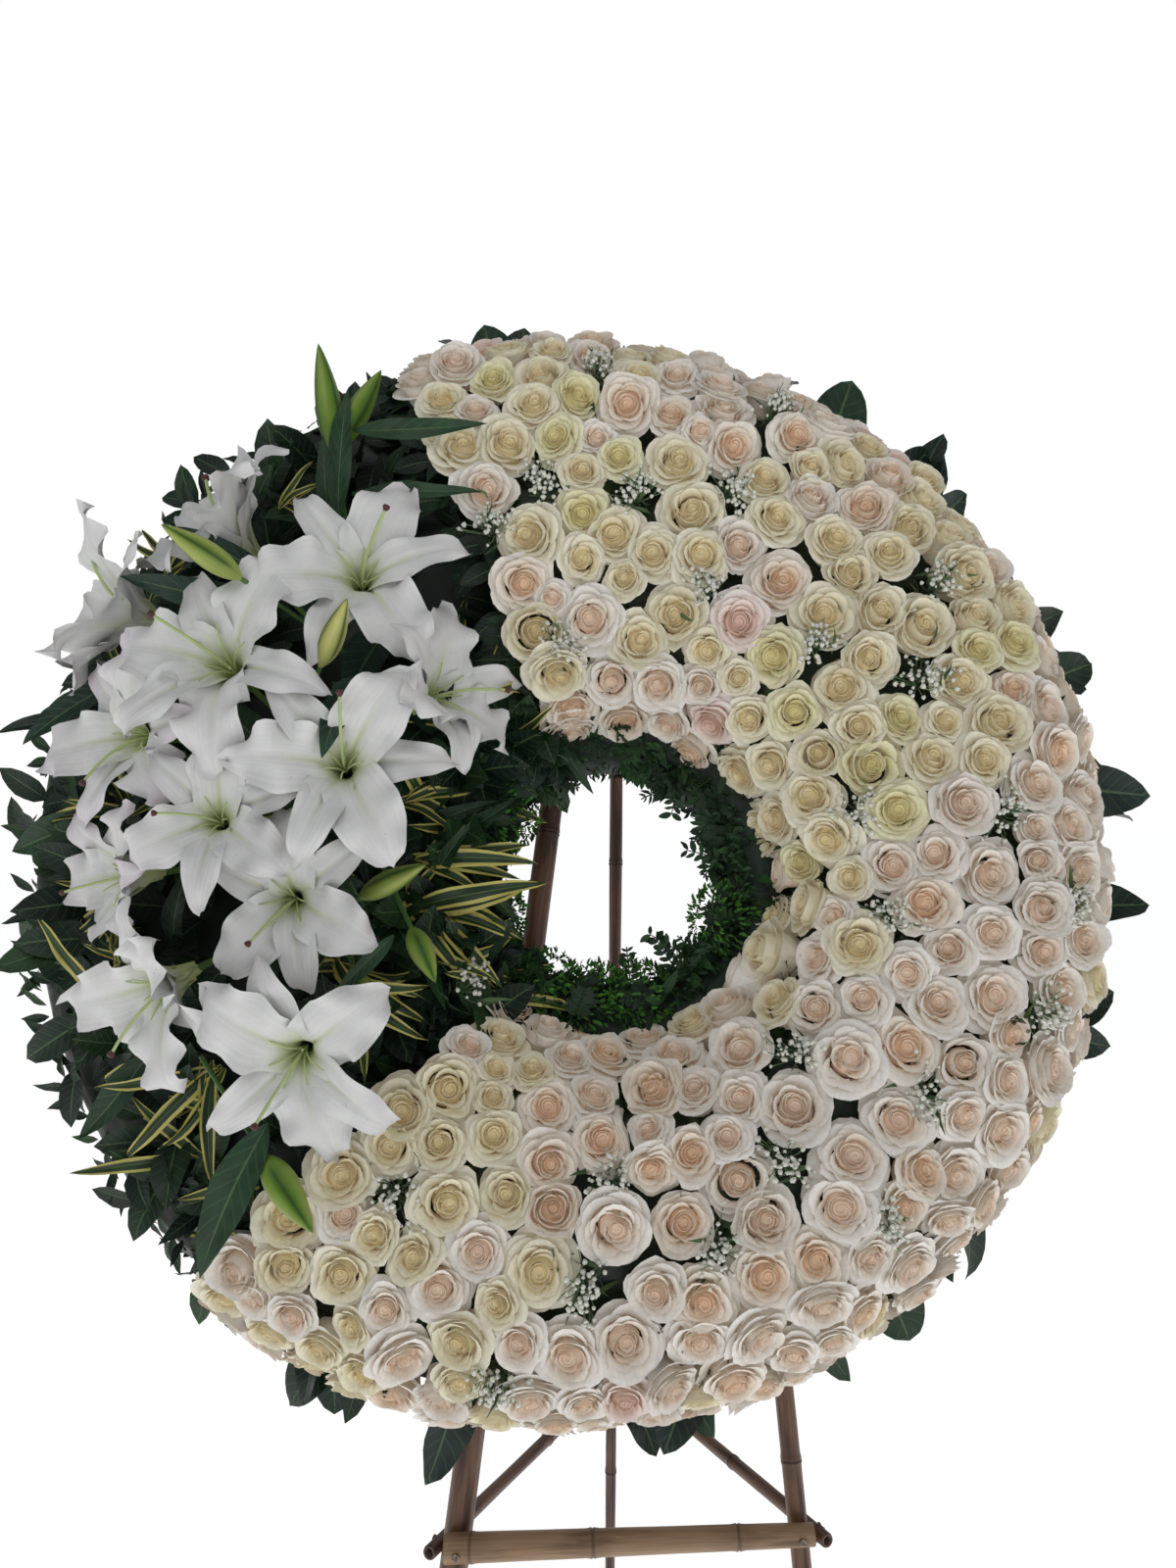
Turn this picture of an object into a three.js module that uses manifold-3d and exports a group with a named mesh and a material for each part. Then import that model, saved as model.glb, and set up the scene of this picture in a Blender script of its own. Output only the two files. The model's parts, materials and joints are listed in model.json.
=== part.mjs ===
// A funeral wreath of roses and lilies on a leaning bamboo tripod easel.
// Millimetres. +X is to the viewer's right, +Y away from the viewer, +Z up.
// The origin is on the floor, under the middle of the whole object.

import * as THREE from 'three';
import { mergeVertices } from 'three/addons/utils/BufferGeometryUtils.js';
import Module from 'manifold-3d';

const wasm = await Module();
wasm.setup();

// ---- driving dimensions -----------------------------------------------------------------

const GAP = 0.3; // clearance between pieces that touch

// easel
const LEAN = 11.5; // the front legs lean back by this many degrees
const LEG_HEIGHT = 1620;
const FOOT_SPARE = 30; // length cut off a leaning leg, so that it stands flat
const LEGS = {
  left: { footX: -225, topX: -30, radius: 11.5, forward: 0, knots: [370, 660, 955, 1256, 1520] },
  right: { footX: 225, topX: 100, radius: 9.5, forward: 2, knots: [270, 565, 860, 1150, 1450] },
};
const REAR_LEG = {
  footX: -3, topX: 6, footY: 530, radiusFoot: 7, radiusTop: 9, knots: [300, 590, 885, 1180, 1470],
};
const LOWER_BAR = {
  left: -184, right: 203, height: 453, rise: 10, radiusLeft: 14, radiusRight: 11, knots: [27, 155, 307],
};
const UPPER_BAR = {
  left: -68, right: 140, height: 1590, radiusLeft: 10, radiusRight: 10, knots: [70],
};
const STRUT = {
  radius: 7.5,
  slack: 1.3, // between a strut and the leg it is nailed to
  overhang: 26, // in front of the front leg
  tail: 16, // behind the rear leg
  left: { front: 438, rear: 388, knots: [60, 290] },
  right: { front: 452, rear: 416, knots: [15, 180] },
};
const BAMBOO_WALL = 3; // of a hollow cut end
const HOLLOW_DEPTH = 22; // from a cut end to the first partition
const KNOT = { bulge: 0.9, half: 4, flat: 1 }; // a knot's swelling, half its length, half its top
const POLE_SIDES = 9;
const NAIL = { radius: 1.75, headRadius: 4, headThick: 1.6, lift: 0.8, point: 4, sides: 8 };
const NAIL_GRIP = 1.5; // how far a nail reaches into a pole, in that pole's radii
const RING_NAIL_HEIGHT = 1300;
const RING_NAIL_GRIP = 16; // how far a ring nail reaches into the backing board

// wreath: u to the right, v up the slope, n out of the slope towards the viewer
const HOLE = { x: -3, height: 1122 }; // where the hole's middle meets the slope
const LIP_RADIUS = 155; // of the roses round the hole
const RIM = { radius: 620, u: -66, v: 55 }; // outer circle of the roses, off centre from the hole
const RING_SEGMENTS = 48;
const BOARD = { from: 0.06, to: 0.9, low: 13, high: 35 };
const FOAM = { from: 0.1, to: 0.84, high: 92 };
const DOME = { low: 24, crest: 210, power: 2.6 }; // the roses' outer surface
const BED = { low: 24, crest: 126, power: 4 }; // the leaves that the lilies stand in
const ARCH = { from: 0.02, to: 0.985, clear: 0.006 };
const MIDWAY = 0.5; // between the hole and the rim, where outer and inner rose banks meet
const MIDWAY_GAP = 0.0012;
const FRINGE = { from: 0.906, low: 15, high: 19, reach: 0.065, notch: 0.02 };
const COLLAR = { inner: -0.1, ragged: 0.025, low: 28, high: 72, crest: 100 };
const FLOWERS = { start: -135, end: 112.5 }; // degrees: from 7:30 round the right to 11 o'clock
const BANKS = ['lower_left', 'bottom', 'lower_right', 'right', 'upper_right', 'top'];
const QUARTERS = { top: 45, left: 135, bottom: 225, right: 315 }; // where each foam block begins
const WEDGE = { reach: 1500, depth: 400 }; // larger than any sector of the ring

// lilies, buds and sprays; `toward` is an angle round the wreath's face, 90 is up
const STEM = { radius: 3, neck: -5, rootHeight: 108, shortest: 30, longest: 120, sides: 6 };
const LILY = { tepals: 6, throat: 34, cleft: 0.22, depth: 26 }; // throat and depth for a radius of 100
const LILIES = [
  { u: -395, v: 335, n: 215, radius: 100, toward: 138, tilt: 58, turn: 20 },
  { u: -500, v: 268, n: 194, radius: 95, toward: 168, tilt: 66, turn: 0 },
  { u: -268, v: 300, n: 225, radius: 102, toward: 60, tilt: 8, turn: 8 },
  { u: -390, v: 198, n: 250, radius: 106, toward: 140, tilt: 14, turn: -14 },
  { u: -490, v: 140, n: 203, radius: 96, toward: -165, tilt: 28, turn: 12 },
  { u: -394, v: 44, n: 246, radius: 84, toward: 60, tilt: 8, turn: 18 },
  { u: -272, v: 96, n: 250, radius: 102, toward: 0, tilt: 6, turn: 0 },
  { u: -195, v: 183, n: 200, radius: 95, toward: 16, tilt: 51, turn: 38 },
  { u: -496, v: -2, n: 184, radius: 84, toward: 195, tilt: 48, turn: 0 },
  { u: -324, v: -30, n: 215, radius: 90, toward: -60, tilt: 10, turn: 38 },
  { u: -442, v: -112, n: 210, radius: 100, toward: -140, tilt: 44, turn: 0 },
  { u: -306, v: -178, n: 225, radius: 100, toward: -90, tilt: 16, turn: -24 },
];
const BUD_SIDES = 8;
const BUDS = {
  lily_bud_pair_top: {
    from: [-312, 466, 180],
    to: [-334, 596, 196],
    width: 33,
    twin: { start: 14, turn: 36, size: 0.86, stalk: 12 },
  },
  lily_bud_03: { from: [-376, 282, 280], to: [-438, 315, 336], width: 30 },
  lily_bud_04: { from: [-298, 196, 262], to: [-266, 256, 296], width: 27 },
  lily_bud_05: { from: [-262, -28, 200], to: [-192, 4, 222], width: 28 },
  lily_bud_06: { from: [-212, -56, 180], to: [-182, -112, 205], width: 28 },
  lily_bud_07: { from: [-268, -94, 190], to: [-240, -172, 214], width: 27 },
  lily_bud_08: { from: [-338, -274, 222], to: [-284, -340, 240], width: 34 },
};
const SPRAY_THICK = 2;
const SPRAYS = {
  spray_hole: { at: [-222, -34, 130], toward: 8, length: 130, base: 14, blades: 5, spread: 110, rise: 6 },
  spray_rim: { at: [-520, 72, 134], toward: 178, length: 150, base: 14, blades: 5, spread: 80, rise: -4 },
  spray_low: { at: [-430, -215, 132], toward: 235, length: 120, base: 14, blades: 5, spread: 110, rise: 6 },
};

// fractions from the hole's lip (0) to the rim (1) are turned into millimetres at this rate inside
// the lip, where the ring does not widen
const INSIDE_WIDTH = 400;

const FINISH = {
  bamboo: { color: 0x8a6238, roughness: 0.55, metalness: 0 },
  nail: { color: 0x6b6460, roughness: 0.5, metalness: 0.8 },
  board: { color: 0xd8d2c4, roughness: 0.9, metalness: 0 },
  foam: { color: 0x35582f, roughness: 0.95, metalness: 0 },
  rose: { color: 0xe8dacb, roughness: 0.6, metalness: 0 },
  lily: { color: 0xf4f2f0, roughness: 0.5, metalness: 0 },
  bud: { color: 0x93a552, roughness: 0.5, metalness: 0 },
  leaf: { color: 0x1f3a24, roughness: 0.55, metalness: 0 },
  variegated: { color: 0x8f9c45, roughness: 0.55, metalness: 0 },
};

// ---- helpers ------------------------------------------------------------------------------

const rad = THREE.MathUtils.degToRad;
const tanLean = Math.tan(rad(LEAN));
const cosLean = Math.cos(rad(LEAN));
const slopeNormal = new THREE.Vector3(0, -cosLean, Math.sin(rad(LEAN)));

/** A named mesh with its own material. */
function piece(name, geometry, finish) {
  const mesh = new THREE.Mesh(geometry, new THREE.MeshStandardMaterial(FINISH[finish]));
  mesh.name = name;
  return mesh;
}

/** Turns a closed geometry into a solid for cutting and joining. */
function solidOf(geometry) {
  const bare = geometry.clone();
  bare.deleteAttribute('normal');
  bare.deleteAttribute('uv');
  const merged = mergeVertices(bare, 1e-3);
  return new wasm.Manifold(new wasm.Mesh({
    numProp: 3,
    vertProperties: new Float32Array(merged.attributes.position.array),
    triVerts: new Uint32Array(merged.index.array),
  }));
}

/** Turns a solid back into a geometry. */
function geometryOf(solid) {
  const mesh = solid.getMesh();
  const geometry = new THREE.BufferGeometry();
  geometry.setAttribute('position', new THREE.BufferAttribute(mesh.vertProperties, 3));
  geometry.setIndex(new THREE.BufferAttribute(mesh.triVerts, 1));
  geometry.computeVertexNormals();
  return geometry;
}

/** Cuts a tool mesh out of another mesh, both as they stand. */
function cut(mesh, toolMesh) {
  mesh.updateWorldMatrix(true, false);
  toolMesh.updateWorldMatrix(true, false);
  const toMesh = mesh.matrixWorld.clone().invert().multiply(toolMesh.matrixWorld);
  const tool = toolMesh.geometry.clone().applyMatrix4(toMesh);
  mesh.geometry = geometryOf(solidOf(mesh.geometry).subtract(solidOf(tool)));
}

/**
 * A closed solid turned about +Z. The profile is [radius, height] pairs, from the bottom of the
 * axis up the outside to its top.
 */
function turned(profile, sides) {
  const points = profile.map(([r, z]) => new THREE.Vector2(r, z));
  const lathe = new THREE.LatheGeometry(points, sides).rotateX(Math.PI / 2);
  return geometryOf(solidOf(lathe));
}

/** Places a mesh that was made along +Z on `from`, pointing at `to`. */
function aim(mesh, from, to) {
  const direction = to.clone().sub(from).normalize();
  mesh.position.copy(from);
  mesh.quaternion.setFromUnitVectors(new THREE.Vector3(0, 0, 1), direction);
  return mesh;
}

/** The sideways direction that is square to both of two others. */
function squareTo(a, b) {
  return new THREE.Vector3().crossVectors(a, b).normalize();
}

// ---- bamboo and nails -----------------------------------------------------------------------

/** One tapered bamboo pole between two points, with knots, hollow where it is cut open. */
function pole(name, from, to, { start, end, knots, open = false }) {
  const length = from.distanceTo(to);
  const profile = open
    ? [[0, HOLLOW_DEPTH], [start - BAMBOO_WALL, HOLLOW_DEPTH], [start - BAMBOO_WALL, 0], [start, 0]]
    : [[0, 0], [start, 0]];
  for (const z of knots) {
    const r = THREE.MathUtils.lerp(start, end, z / length);
    profile.push([r, z - KNOT.half], [r + KNOT.bulge, z - KNOT.flat]);
    profile.push([r + KNOT.bulge, z + KNOT.flat], [r, z + KNOT.half]);
  }
  profile.push([end, length]);
  if (open) {
    profile.push([end - BAMBOO_WALL, length], [end - BAMBOO_WALL, length - HOLLOW_DEPTH]);
  }
  profile.push([0, open ? length - HOLLOW_DEPTH : length]);
  return aim(piece(name, turned(profile, POLE_SIDES), 'bamboo'), from, to);
}

/** A nail whose head's underside is at `head`, driven along `direction` through the given meshes. */
function nail(name, head, direction, length, ...meshes) {
  const { radius, headRadius, headThick, point, sides } = NAIL;
  const shape = turned([
    [0, -headThick], [headRadius, -headThick], [headRadius, 0],
    [radius, 0], [radius, length - point], [0, length],
  ], sides);
  const wide = radius + GAP;
  const clearance = turned([[0, -length], [wide, -length], [wide, length + GAP], [0, length + GAP]], sides);
  const target = head.clone().add(direction);
  const drill = aim(piece('drill', clearance, 'nail'), head, target);
  meshes.forEach((mesh) => cut(mesh, drill));
  return aim(piece(name, shape, 'nail'), head, target);
}

// ---- easel ----------------------------------------------------------------------------------

/** The point on a front leg's middle line at a height. */
function onFrontLeg(side, height) {
  const { footX, topX, forward } = LEGS[side];
  const x = THREE.MathUtils.lerp(footX, topX, height / LEG_HEIGHT);
  return new THREE.Vector3(x, height * tanLean - forward / cosLean, height);
}

/** The middle of a bar that touches a front leg: -1 is in front of the leg and 1 behind it. */
function besideFrontLeg(side, height, barRadius, place) {
  const away = (LEGS[side].radius + barRadius + KNOT.bulge + GAP) / cosLean;
  return onFrontLeg(side, height).add(new THREE.Vector3(0, place * away, 0));
}

/** Cuts off what is below the floor, so that a leg stands flat. */
function standFlat(leg) {
  const below = piece('below', new THREE.BoxGeometry(100, 100, FOOT_SPARE * 2), 'bamboo');
  below.position.set(leg.position.x, leg.position.y, -FOOT_SPARE);
  cut(leg, below);
  return leg;
}

/** A bar across both front legs, and the nail that holds it to each. */
function crossbar(name, nailName, legs, bar, place) {
  const { left, right, height, rise = 0, radiusLeft, radiusRight, knots } = bar;
  const radius = { left: radiusLeft, right: radiusRight };
  const touch = {
    left: besideFrontLeg('left', height, radiusLeft, place),
    right: besideFrontLeg('right', height + rise, radiusRight, place),
  };
  const along = touch.right.clone().sub(touch.left);
  const at = (x) => touch.left.clone().addScaledVector(along, (x - touch.left.x) / along.x);
  const mesh = pole(name, at(left), at(right), { start: radiusLeft, end: radiusRight, knots, open: true });
  const inward = new THREE.Vector3(0, -place, 0);
  const nails = ['left', 'right'].map((side) => {
    const head = touch[side].clone().addScaledVector(inward, -(radius[side] + NAIL.lift));
    const length = 2 * radius[side] + NAIL_GRIP * LEGS[side].radius;
    return nail(`${nailName}_${side}`, head, inward, length, mesh, legs[side]);
  });
  return { mesh, nails, at };
}

/** A strut from beside a front leg to beside the rear leg, with a nail into each. */
function sideStrut(side, frontLeg, rearLeg, onRearLeg) {
  const { front, rear, knots } = STRUT[side];
  const outward = side === 'left' ? -1 : 1;
  const ends = [
    { point: onFrontLeg(side, front), next: onFrontLeg(side, front + 1), radius: LEGS[side].radius },
    { point: onRearLeg(rear), next: onRearLeg(rear + 1), radius: REAR_LEG.radiusTop },
  ];
  const along = ends[1].point.clone().sub(ends[0].point).normalize();
  for (const end of ends) {
    const sideways = squareTo(along, end.next.sub(end.point));
    end.sideways = sideways.multiplyScalar(Math.sign(sideways.x) * outward);
    end.touch = end.point.clone().addScaledVector(end.sideways, end.radius + STRUT.radius + STRUT.slack);
  }
  const run = ends[1].touch.clone().sub(ends[0].touch).normalize();
  const start = ends[0].touch.clone().addScaledVector(run, -STRUT.overhang);
  const finish = ends[1].touch.clone().addScaledVector(run, STRUT.tail);
  const size = { start: STRUT.radius, end: STRUT.radius, knots, open: true };
  const mesh = pole(`side_strut_${side}`, start, finish, size);
  const nails = [['front', frontLeg], ['rear', rearLeg]].map(([where, leg], i) => {
    const { touch, sideways, radius } = ends[i];
    const head = touch.clone().addScaledVector(sideways, STRUT.radius + NAIL.lift);
    const length = 2 * STRUT.radius + NAIL_GRIP * radius;
    return nail(`strut_nail_${where}_${side}`, head, sideways.clone().negate(), length, mesh, leg);
  });
  return [mesh, ...nails];
}

function buildEasel() {
  const legs = {};
  for (const side of ['left', 'right']) {
    const { radius, knots } = LEGS[side];
    const from = onFrontLeg(side, -FOOT_SPARE);
    const to = onFrontLeg(side, LEG_HEIGHT);
    legs[side] = standFlat(pole(`front_leg_${side}`, from, to, { start: radius, end: radius, knots }));
  }
  const lower = crossbar('lower_crossbar', 'crossbar_nail', legs, LOWER_BAR, -1);
  const upper = crossbar('upper_crossbar', 'upper_nail', legs, UPPER_BAR, 1);

  const { footX, topX, footY, radiusFoot, radiusTop, knots } = REAR_LEG;
  const foot = new THREE.Vector3(footX, footY, 0);
  const tied = upper.at(topX);
  tied.y += radiusTop + UPPER_BAR.radiusLeft + KNOT.bulge + GAP;
  const onRearLeg = (height) => foot.clone().lerp(tied, height / tied.z);
  const rearSize = { start: radiusFoot, end: radiusTop, knots };
  const rear = standFlat(pole('rear_leg', onRearLeg(-FOOT_SPARE), onRearLeg(LEG_HEIGHT), rearSize));

  const forward = new THREE.Vector3(0, -1, 0);
  const headNailHead = tied.clone().addScaledVector(forward, -(radiusTop + NAIL.lift));
  const headNailLength = 2 * radiusTop + NAIL_GRIP * UPPER_BAR.radiusLeft;
  const headNail = nail('head_nail', headNailHead, forward, headNailLength, rear, upper.mesh);

  const struts = ['left', 'right'].flatMap((side) => sideStrut(side, legs[side], rear, onRearLeg));
  const easel = new THREE.Group();
  easel.add(legs.left, legs.right, rear, lower.mesh, upper.mesh, headNail);
  easel.add(...lower.nails, ...upper.nails, ...struts);
  return { easel, legs };
}

// ---- the ring ---------------------------------------------------------------------------------

/** From the hole's middle to the outer circle of the roses, at an angle. */
function rimRadius(angle) {
  const along = RIM.u * Math.cos(angle) + RIM.v * Math.sin(angle);
  return along + Math.sqrt(RIM.radius ** 2 - RIM.u ** 2 - RIM.v ** 2 + along ** 2);
}

/** The radius at a fraction of the way from the hole's lip (0) to the rim (1). */
function ringRadius(angle, fraction) {
  return LIP_RADIUS + fraction * (fraction < 0 ? INSIDE_WIDTH : rimRadius(angle) - LIP_RADIUS);
}

/**
 * A closed ring round the hole. The profile is [fraction, height] pairs, anticlockwise, and `edge`
 * may move a fraction at every other step round the ring.
 */
function ring(profile, edge = (fraction) => fraction) {
  const bias = 2; // keeps every profile point away from the axis until it is placed
  const points = [...profile, profile[0]].map(([f, n]) => new THREE.Vector2(bias + f, n));
  const geometry = new THREE.LatheGeometry(points, RING_SEGMENTS).rotateX(Math.PI / 2);
  const position = geometry.attributes.position;
  for (let i = 0; i < position.count; i += 1) {
    const angle = Math.atan2(position.getY(i), position.getX(i));
    const step = Math.round((angle / (2 * Math.PI)) * RING_SEGMENTS);
    const fraction = Math.hypot(position.getX(i), position.getY(i)) - bias;
    const radius = ringRadius(angle, edge(fraction, step % 2 === 0));
    position.setXY(i, radius * Math.cos(angle), radius * Math.sin(angle));
  }
  return solidOf(geometry);
}

/** The part of a ring between two angles in degrees, with half the gap left at each end. */
function sector(solid, from, to) {
  const half = rad(to - from) / 2;
  const middle = rad(to + from) / 2;
  const polar = (radius, angle) => new THREE.Vector2(radius * Math.cos(angle), radius * Math.sin(angle));
  const apex = polar(GAP / 2 / Math.sin(half), middle);
  const corners = [middle - half, middle + half].map((angle) => apex.clone().add(polar(WEDGE.reach, angle)));
  const shape = new THREE.Shape([apex, ...corners]);
  const wedge = new THREE.ExtrudeGeometry(shape, { depth: WEDGE.depth, bevelEnabled: false });
  return geometryOf(solid.intersect(solidOf(wedge)));
}

/** The height of an arched ring at a fraction of the way across it. */
function archHeight({ low, crest, power }, fraction) {
  return low + (crest - low) * (1 - Math.abs(2 * fraction - 1) ** power) ** (1 / power);
}

/** Arch points between two fractions, from the rim side to the hole side. */
function archPoints(arch, from, to, steps) {
  return Array.from({ length: steps + 1 }, (_, i) => {
    const fraction = THREE.MathUtils.lerp(to, from, i / steps);
    return [fraction, archHeight(arch, fraction)];
  });
}

/** The profile of an arch that lies on the foam and, past the board, hangs down beside it. */
function archOverFoam(arch, steps) {
  const under = FOAM.high + GAP;
  const outside = BOARD.to + ARCH.clear;
  return [
    [ARCH.from, under], [outside, under], [outside, arch.low], [ARCH.to, arch.low],
    ...archPoints(arch, ARCH.from, ARCH.to, steps),
  ];
}

function buildBase(legs, wreath) {
  const slab = ({ from, to, low, high }) => [[from, low], [to, low], [to, high], [from, high]];
  const board = piece('backing_board', geometryOf(ring(slab(BOARD))), 'board');
  wreath.add(board);
  const foamRing = ring(slab({ ...FOAM, low: BOARD.high + GAP }));
  Object.entries(QUARTERS).forEach(([place, from]) => {
    wreath.add(piece(`foam_${place}`, sector(foamRing, from, from + 90), 'foam'));
  });
  const nails = ['left', 'right'].map((side) => {
    const { radius, forward } = LEGS[side];
    const head = onFrontLeg(side, RING_NAIL_HEIGHT).addScaledVector(slopeNormal, -(radius + NAIL.lift));
    const length = radius - forward + NAIL.lift + BOARD.low + RING_NAIL_GRIP;
    return nail(`ring_nail_${side}`, head, slopeNormal, length, legs[side], board);
  });
  return nails;
}

function buildRoseBanks() {
  const under = FOAM.high + GAP;
  const split = MIDWAY_GAP / 2;
  const outside = BOARD.to + ARCH.clear;
  const rings = {
    outer: ring([
      [MIDWAY + split, under], [outside, under], [outside, DOME.low], [ARCH.to, DOME.low],
      ...archPoints(DOME, MIDWAY + split, ARCH.to, 5),
    ]),
    inner: ring([
      [ARCH.from, under], [MIDWAY - split, under],
      ...archPoints(DOME, ARCH.from, MIDWAY - split, 5),
    ]),
  };
  const span = (FLOWERS.end - FLOWERS.start) / BANKS.length;
  return BANKS.flatMap((place, i) => {
    const from = FLOWERS.start + i * span;
    return ['outer', 'inner'].map((part) => (
      piece(`rose_bank_${place}_${part}`, sector(rings[part], from, from + span), 'rose')
    ));
  });
}

function buildGreenery() {
  const bed = sector(ring(archOverFoam(BED, 6)), FLOWERS.end, FLOWERS.start + 360);
  const { from, low, high, reach, notch } = FRINGE;
  const fringe = ring(
    [[from, low], [1, low], [1, high], [from, high]],
    (fraction, even) => (fraction < 1 ? fraction : 1 + (even ? reach : notch)),
  );
  const inBoard = BOARD.from - ARCH.clear;
  const inFoam = FOAM.from - ARCH.clear;
  const { inner, ragged } = COLLAR;
  const collar = ring(
    [
      [inner / 2, BOARD.low], [inBoard, BOARD.low], [inBoard, BOARD.high + GAP], [inFoam, BOARD.high + GAP],
      [inFoam, FOAM.high], [ARCH.from - ARCH.clear, FOAM.high], [0, COLLAR.crest],
      [inner, COLLAR.high], [inner, COLLAR.low],
    ],
    (fraction, even) => (even && fraction < inner / 2 ? fraction + ragged : fraction),
  );
  return [
    piece('foliage_bed', bed, 'leaf'),
    piece('leaf_fringe', geometryOf(fringe), 'leaf'),
    piece('fern_collar', geometryOf(collar), 'leaf'),
  ];
}

// ---- lilies, buds and sprays ----------------------------------------------------------------

/** The direction that leans `tilt` degrees from straight out of the wreath, towards `toward`. */
function facing(toward, tilt) {
  const sideways = Math.sin(rad(tilt));
  const [x, y] = [Math.cos(rad(toward)), Math.sin(rad(toward))];
  return new THREE.Vector3(sideways * x, sideways * y, Math.cos(rad(tilt)));
}

/** How long a flower's straight stem is, to reach its root's height inside the bed. */
function stemLength(base, axis) {
  return THREE.MathUtils.clamp((base.z - STEM.rootHeight) / axis.z, STEM.shortest, STEM.longest);
}

/** Makes room in the bed for a flower's stem. */
function plant(flower, stem, bed) {
  const wide = STEM.radius + 2 * GAP;
  const drill = flower.clone();
  drill.geometry = turned([[0, -stem - GAP], [wide, -stem - GAP], [wide, -GAP], [0, -GAP]], STEM.sides);
  cut(bed, drill);
  return flower;
}

/** An open lily facing +Z: a six-pointed trumpet with a pistil, on its stem. */
function lilyShape(radius, stem) {
  const scale = radius / 100;
  const under = [[7, -2], [38, 36], [66, 51], [97, 46]];
  const upper = [[100, 52], [66, 58], [33, 44], [8, 8], [2.5, 10], [3, 68], [0, 70]];
  const points = [[0, -stem], [STEM.radius, -stem], [STEM.radius, STEM.neck]];
  points.push(...[...under, ...upper].map(([r, z]) => [r * scale, z * scale]));
  const profile = points.map(([r, z]) => new THREE.Vector2(r, z));
  const geometry = new THREE.LatheGeometry(profile, 2 * LILY.tepals).rotateX(Math.PI / 2);
  const { position } = geometry.attributes;
  const throat = LILY.throat * scale;
  for (let i = 0; i < position.count; i += 1) {
    const radial = Math.hypot(position.getX(i), position.getY(i));
    const turn = Math.atan2(position.getY(i), position.getX(i)) / Math.PI;
    const between = Math.round(turn * LILY.tepals) % 2 !== 0;
    if (between && radial > throat) {
      const pull = (throat + (radial - throat) * LILY.cleft) / radial;
      position.setXY(i, position.getX(i) * pull, position.getY(i) * pull);
    }
  }
  return geometryOf(solidOf(geometry));
}

/** A closed lily bud along +Z, on its stem. */
function budShape(length, width, stem) {
  const outline = [[0.18, 0.02], [0.4, 0.2], [0.5, 0.5], [0.42, 0.78], [0.16, 0.97], [0, 1]];
  const profile = [[0, -stem], [STEM.radius, -stem], [STEM.radius, STEM.neck]];
  profile.push(...outline.map(([r, z]) => [r * width, z * length]));
  return turned(profile, BUD_SIDES);
}

/** A flat fan of pointed strap leaves that spreads from the origin about +X. */
function sprayShape({ length, base, blades, spread, rise }) {
  const polar = (radius, degrees) => (
    new THREE.Vector2(radius * Math.cos(rad(degrees)), radius * Math.sin(rad(degrees)))
  );
  const step = spread / (blades - 1);
  const outline = [new THREE.Vector2(-base, 0)];
  for (let i = 0; i < blades; i += 1) {
    const turn = -spread / 2 + i * step;
    outline.push(polar(base, turn - step / 2), polar(length, turn));
  }
  outline.push(polar(base, spread / 2 + step / 2));
  const flat = { depth: SPRAY_THICK, bevelEnabled: false };
  const fan = new THREE.ExtrudeGeometry(new THREE.Shape(outline), flat);
  return geometryOf(solidOf(fan.rotateY(-rad(rise))));
}

function buildLilies(bed) {
  return LILIES.map(({ u, v, n, radius, toward, tilt, turn }, i) => {
    const axis = facing(toward, tilt);
    const base = new THREE.Vector3(u, v, n).addScaledVector(axis, -LILY.depth);
    const stem = stemLength(base, axis);
    const name = `lily_${String(i + 1).padStart(2, '0')}`;
    const flower = piece(name, lilyShape(radius, stem).rotateZ(rad(turn)), 'lily');
    return plant(aim(flower, base, base.clone().add(axis)), stem, bed);
  });
}

function buildBuds(bed) {
  return Object.entries(BUDS).map(([name, { from, to, width, twin }]) => {
    const base = new THREE.Vector3(...from);
    const tip = new THREE.Vector3(...to);
    const length = base.distanceTo(tip);
    const stem = stemLength(base, tip.clone().sub(base).normalize());
    const bud = aim(piece(name, budShape(length, width, stem), 'bud'), base, tip);
    if (twin) {
      const second = budShape(length * twin.size, width, twin.stalk).rotateY(rad(twin.turn));
      const joined = solidOf(bud.geometry).add(solidOf(second.translate(0, 0, twin.start)));
      bud.geometry = geometryOf(joined);
    }
    return plant(bud, stem, bed);
  });
}

function buildSprays() {
  return Object.entries(SPRAYS).map(([name, { at, toward, ...shape }]) => {
    const spray = piece(name, sprayShape(shape), 'variegated');
    spray.position.set(...at);
    spray.rotation.z = rad(toward);
    return spray;
  });
}

// ---- the whole object -------------------------------------------------------------------------

const { easel, legs } = buildEasel();
const wreath = new THREE.Group();
wreath.position.set(HOLE.x, HOLE.height * tanLean, HOLE.height);
wreath.rotation.x = rad(90 - LEAN);
easel.add(...buildBase(legs, wreath));
const [bed, ...otherGreenery] = buildGreenery();
const flowers = [...buildRoseBanks(), ...buildLilies(bed), ...buildBuds(bed), ...buildSprays()];
wreath.add(bed, ...otherGreenery, ...flowers);

const group = new THREE.Group();
group.add(easel, wreath);
const box = new THREE.Box3().setFromObject(group, true);
group.position.set(-(box.min.x + box.max.x) / 2, -(box.min.y + box.max.y) / 2, 0);

export default group;
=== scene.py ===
"""A standing funeral wreath: roses and lilies on a leaning bamboo tripod easel.

The wreath has directions of its own: u to the right, v up its slope and n out of the slope, towards
the viewer. Its origin is where the middle of its hole meets the slope. Sizes are in metres and
angles in degrees, unless a name says otherwise.
"""

import json
import logging
import math
from dataclasses import dataclass, field
from enum import Enum

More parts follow.
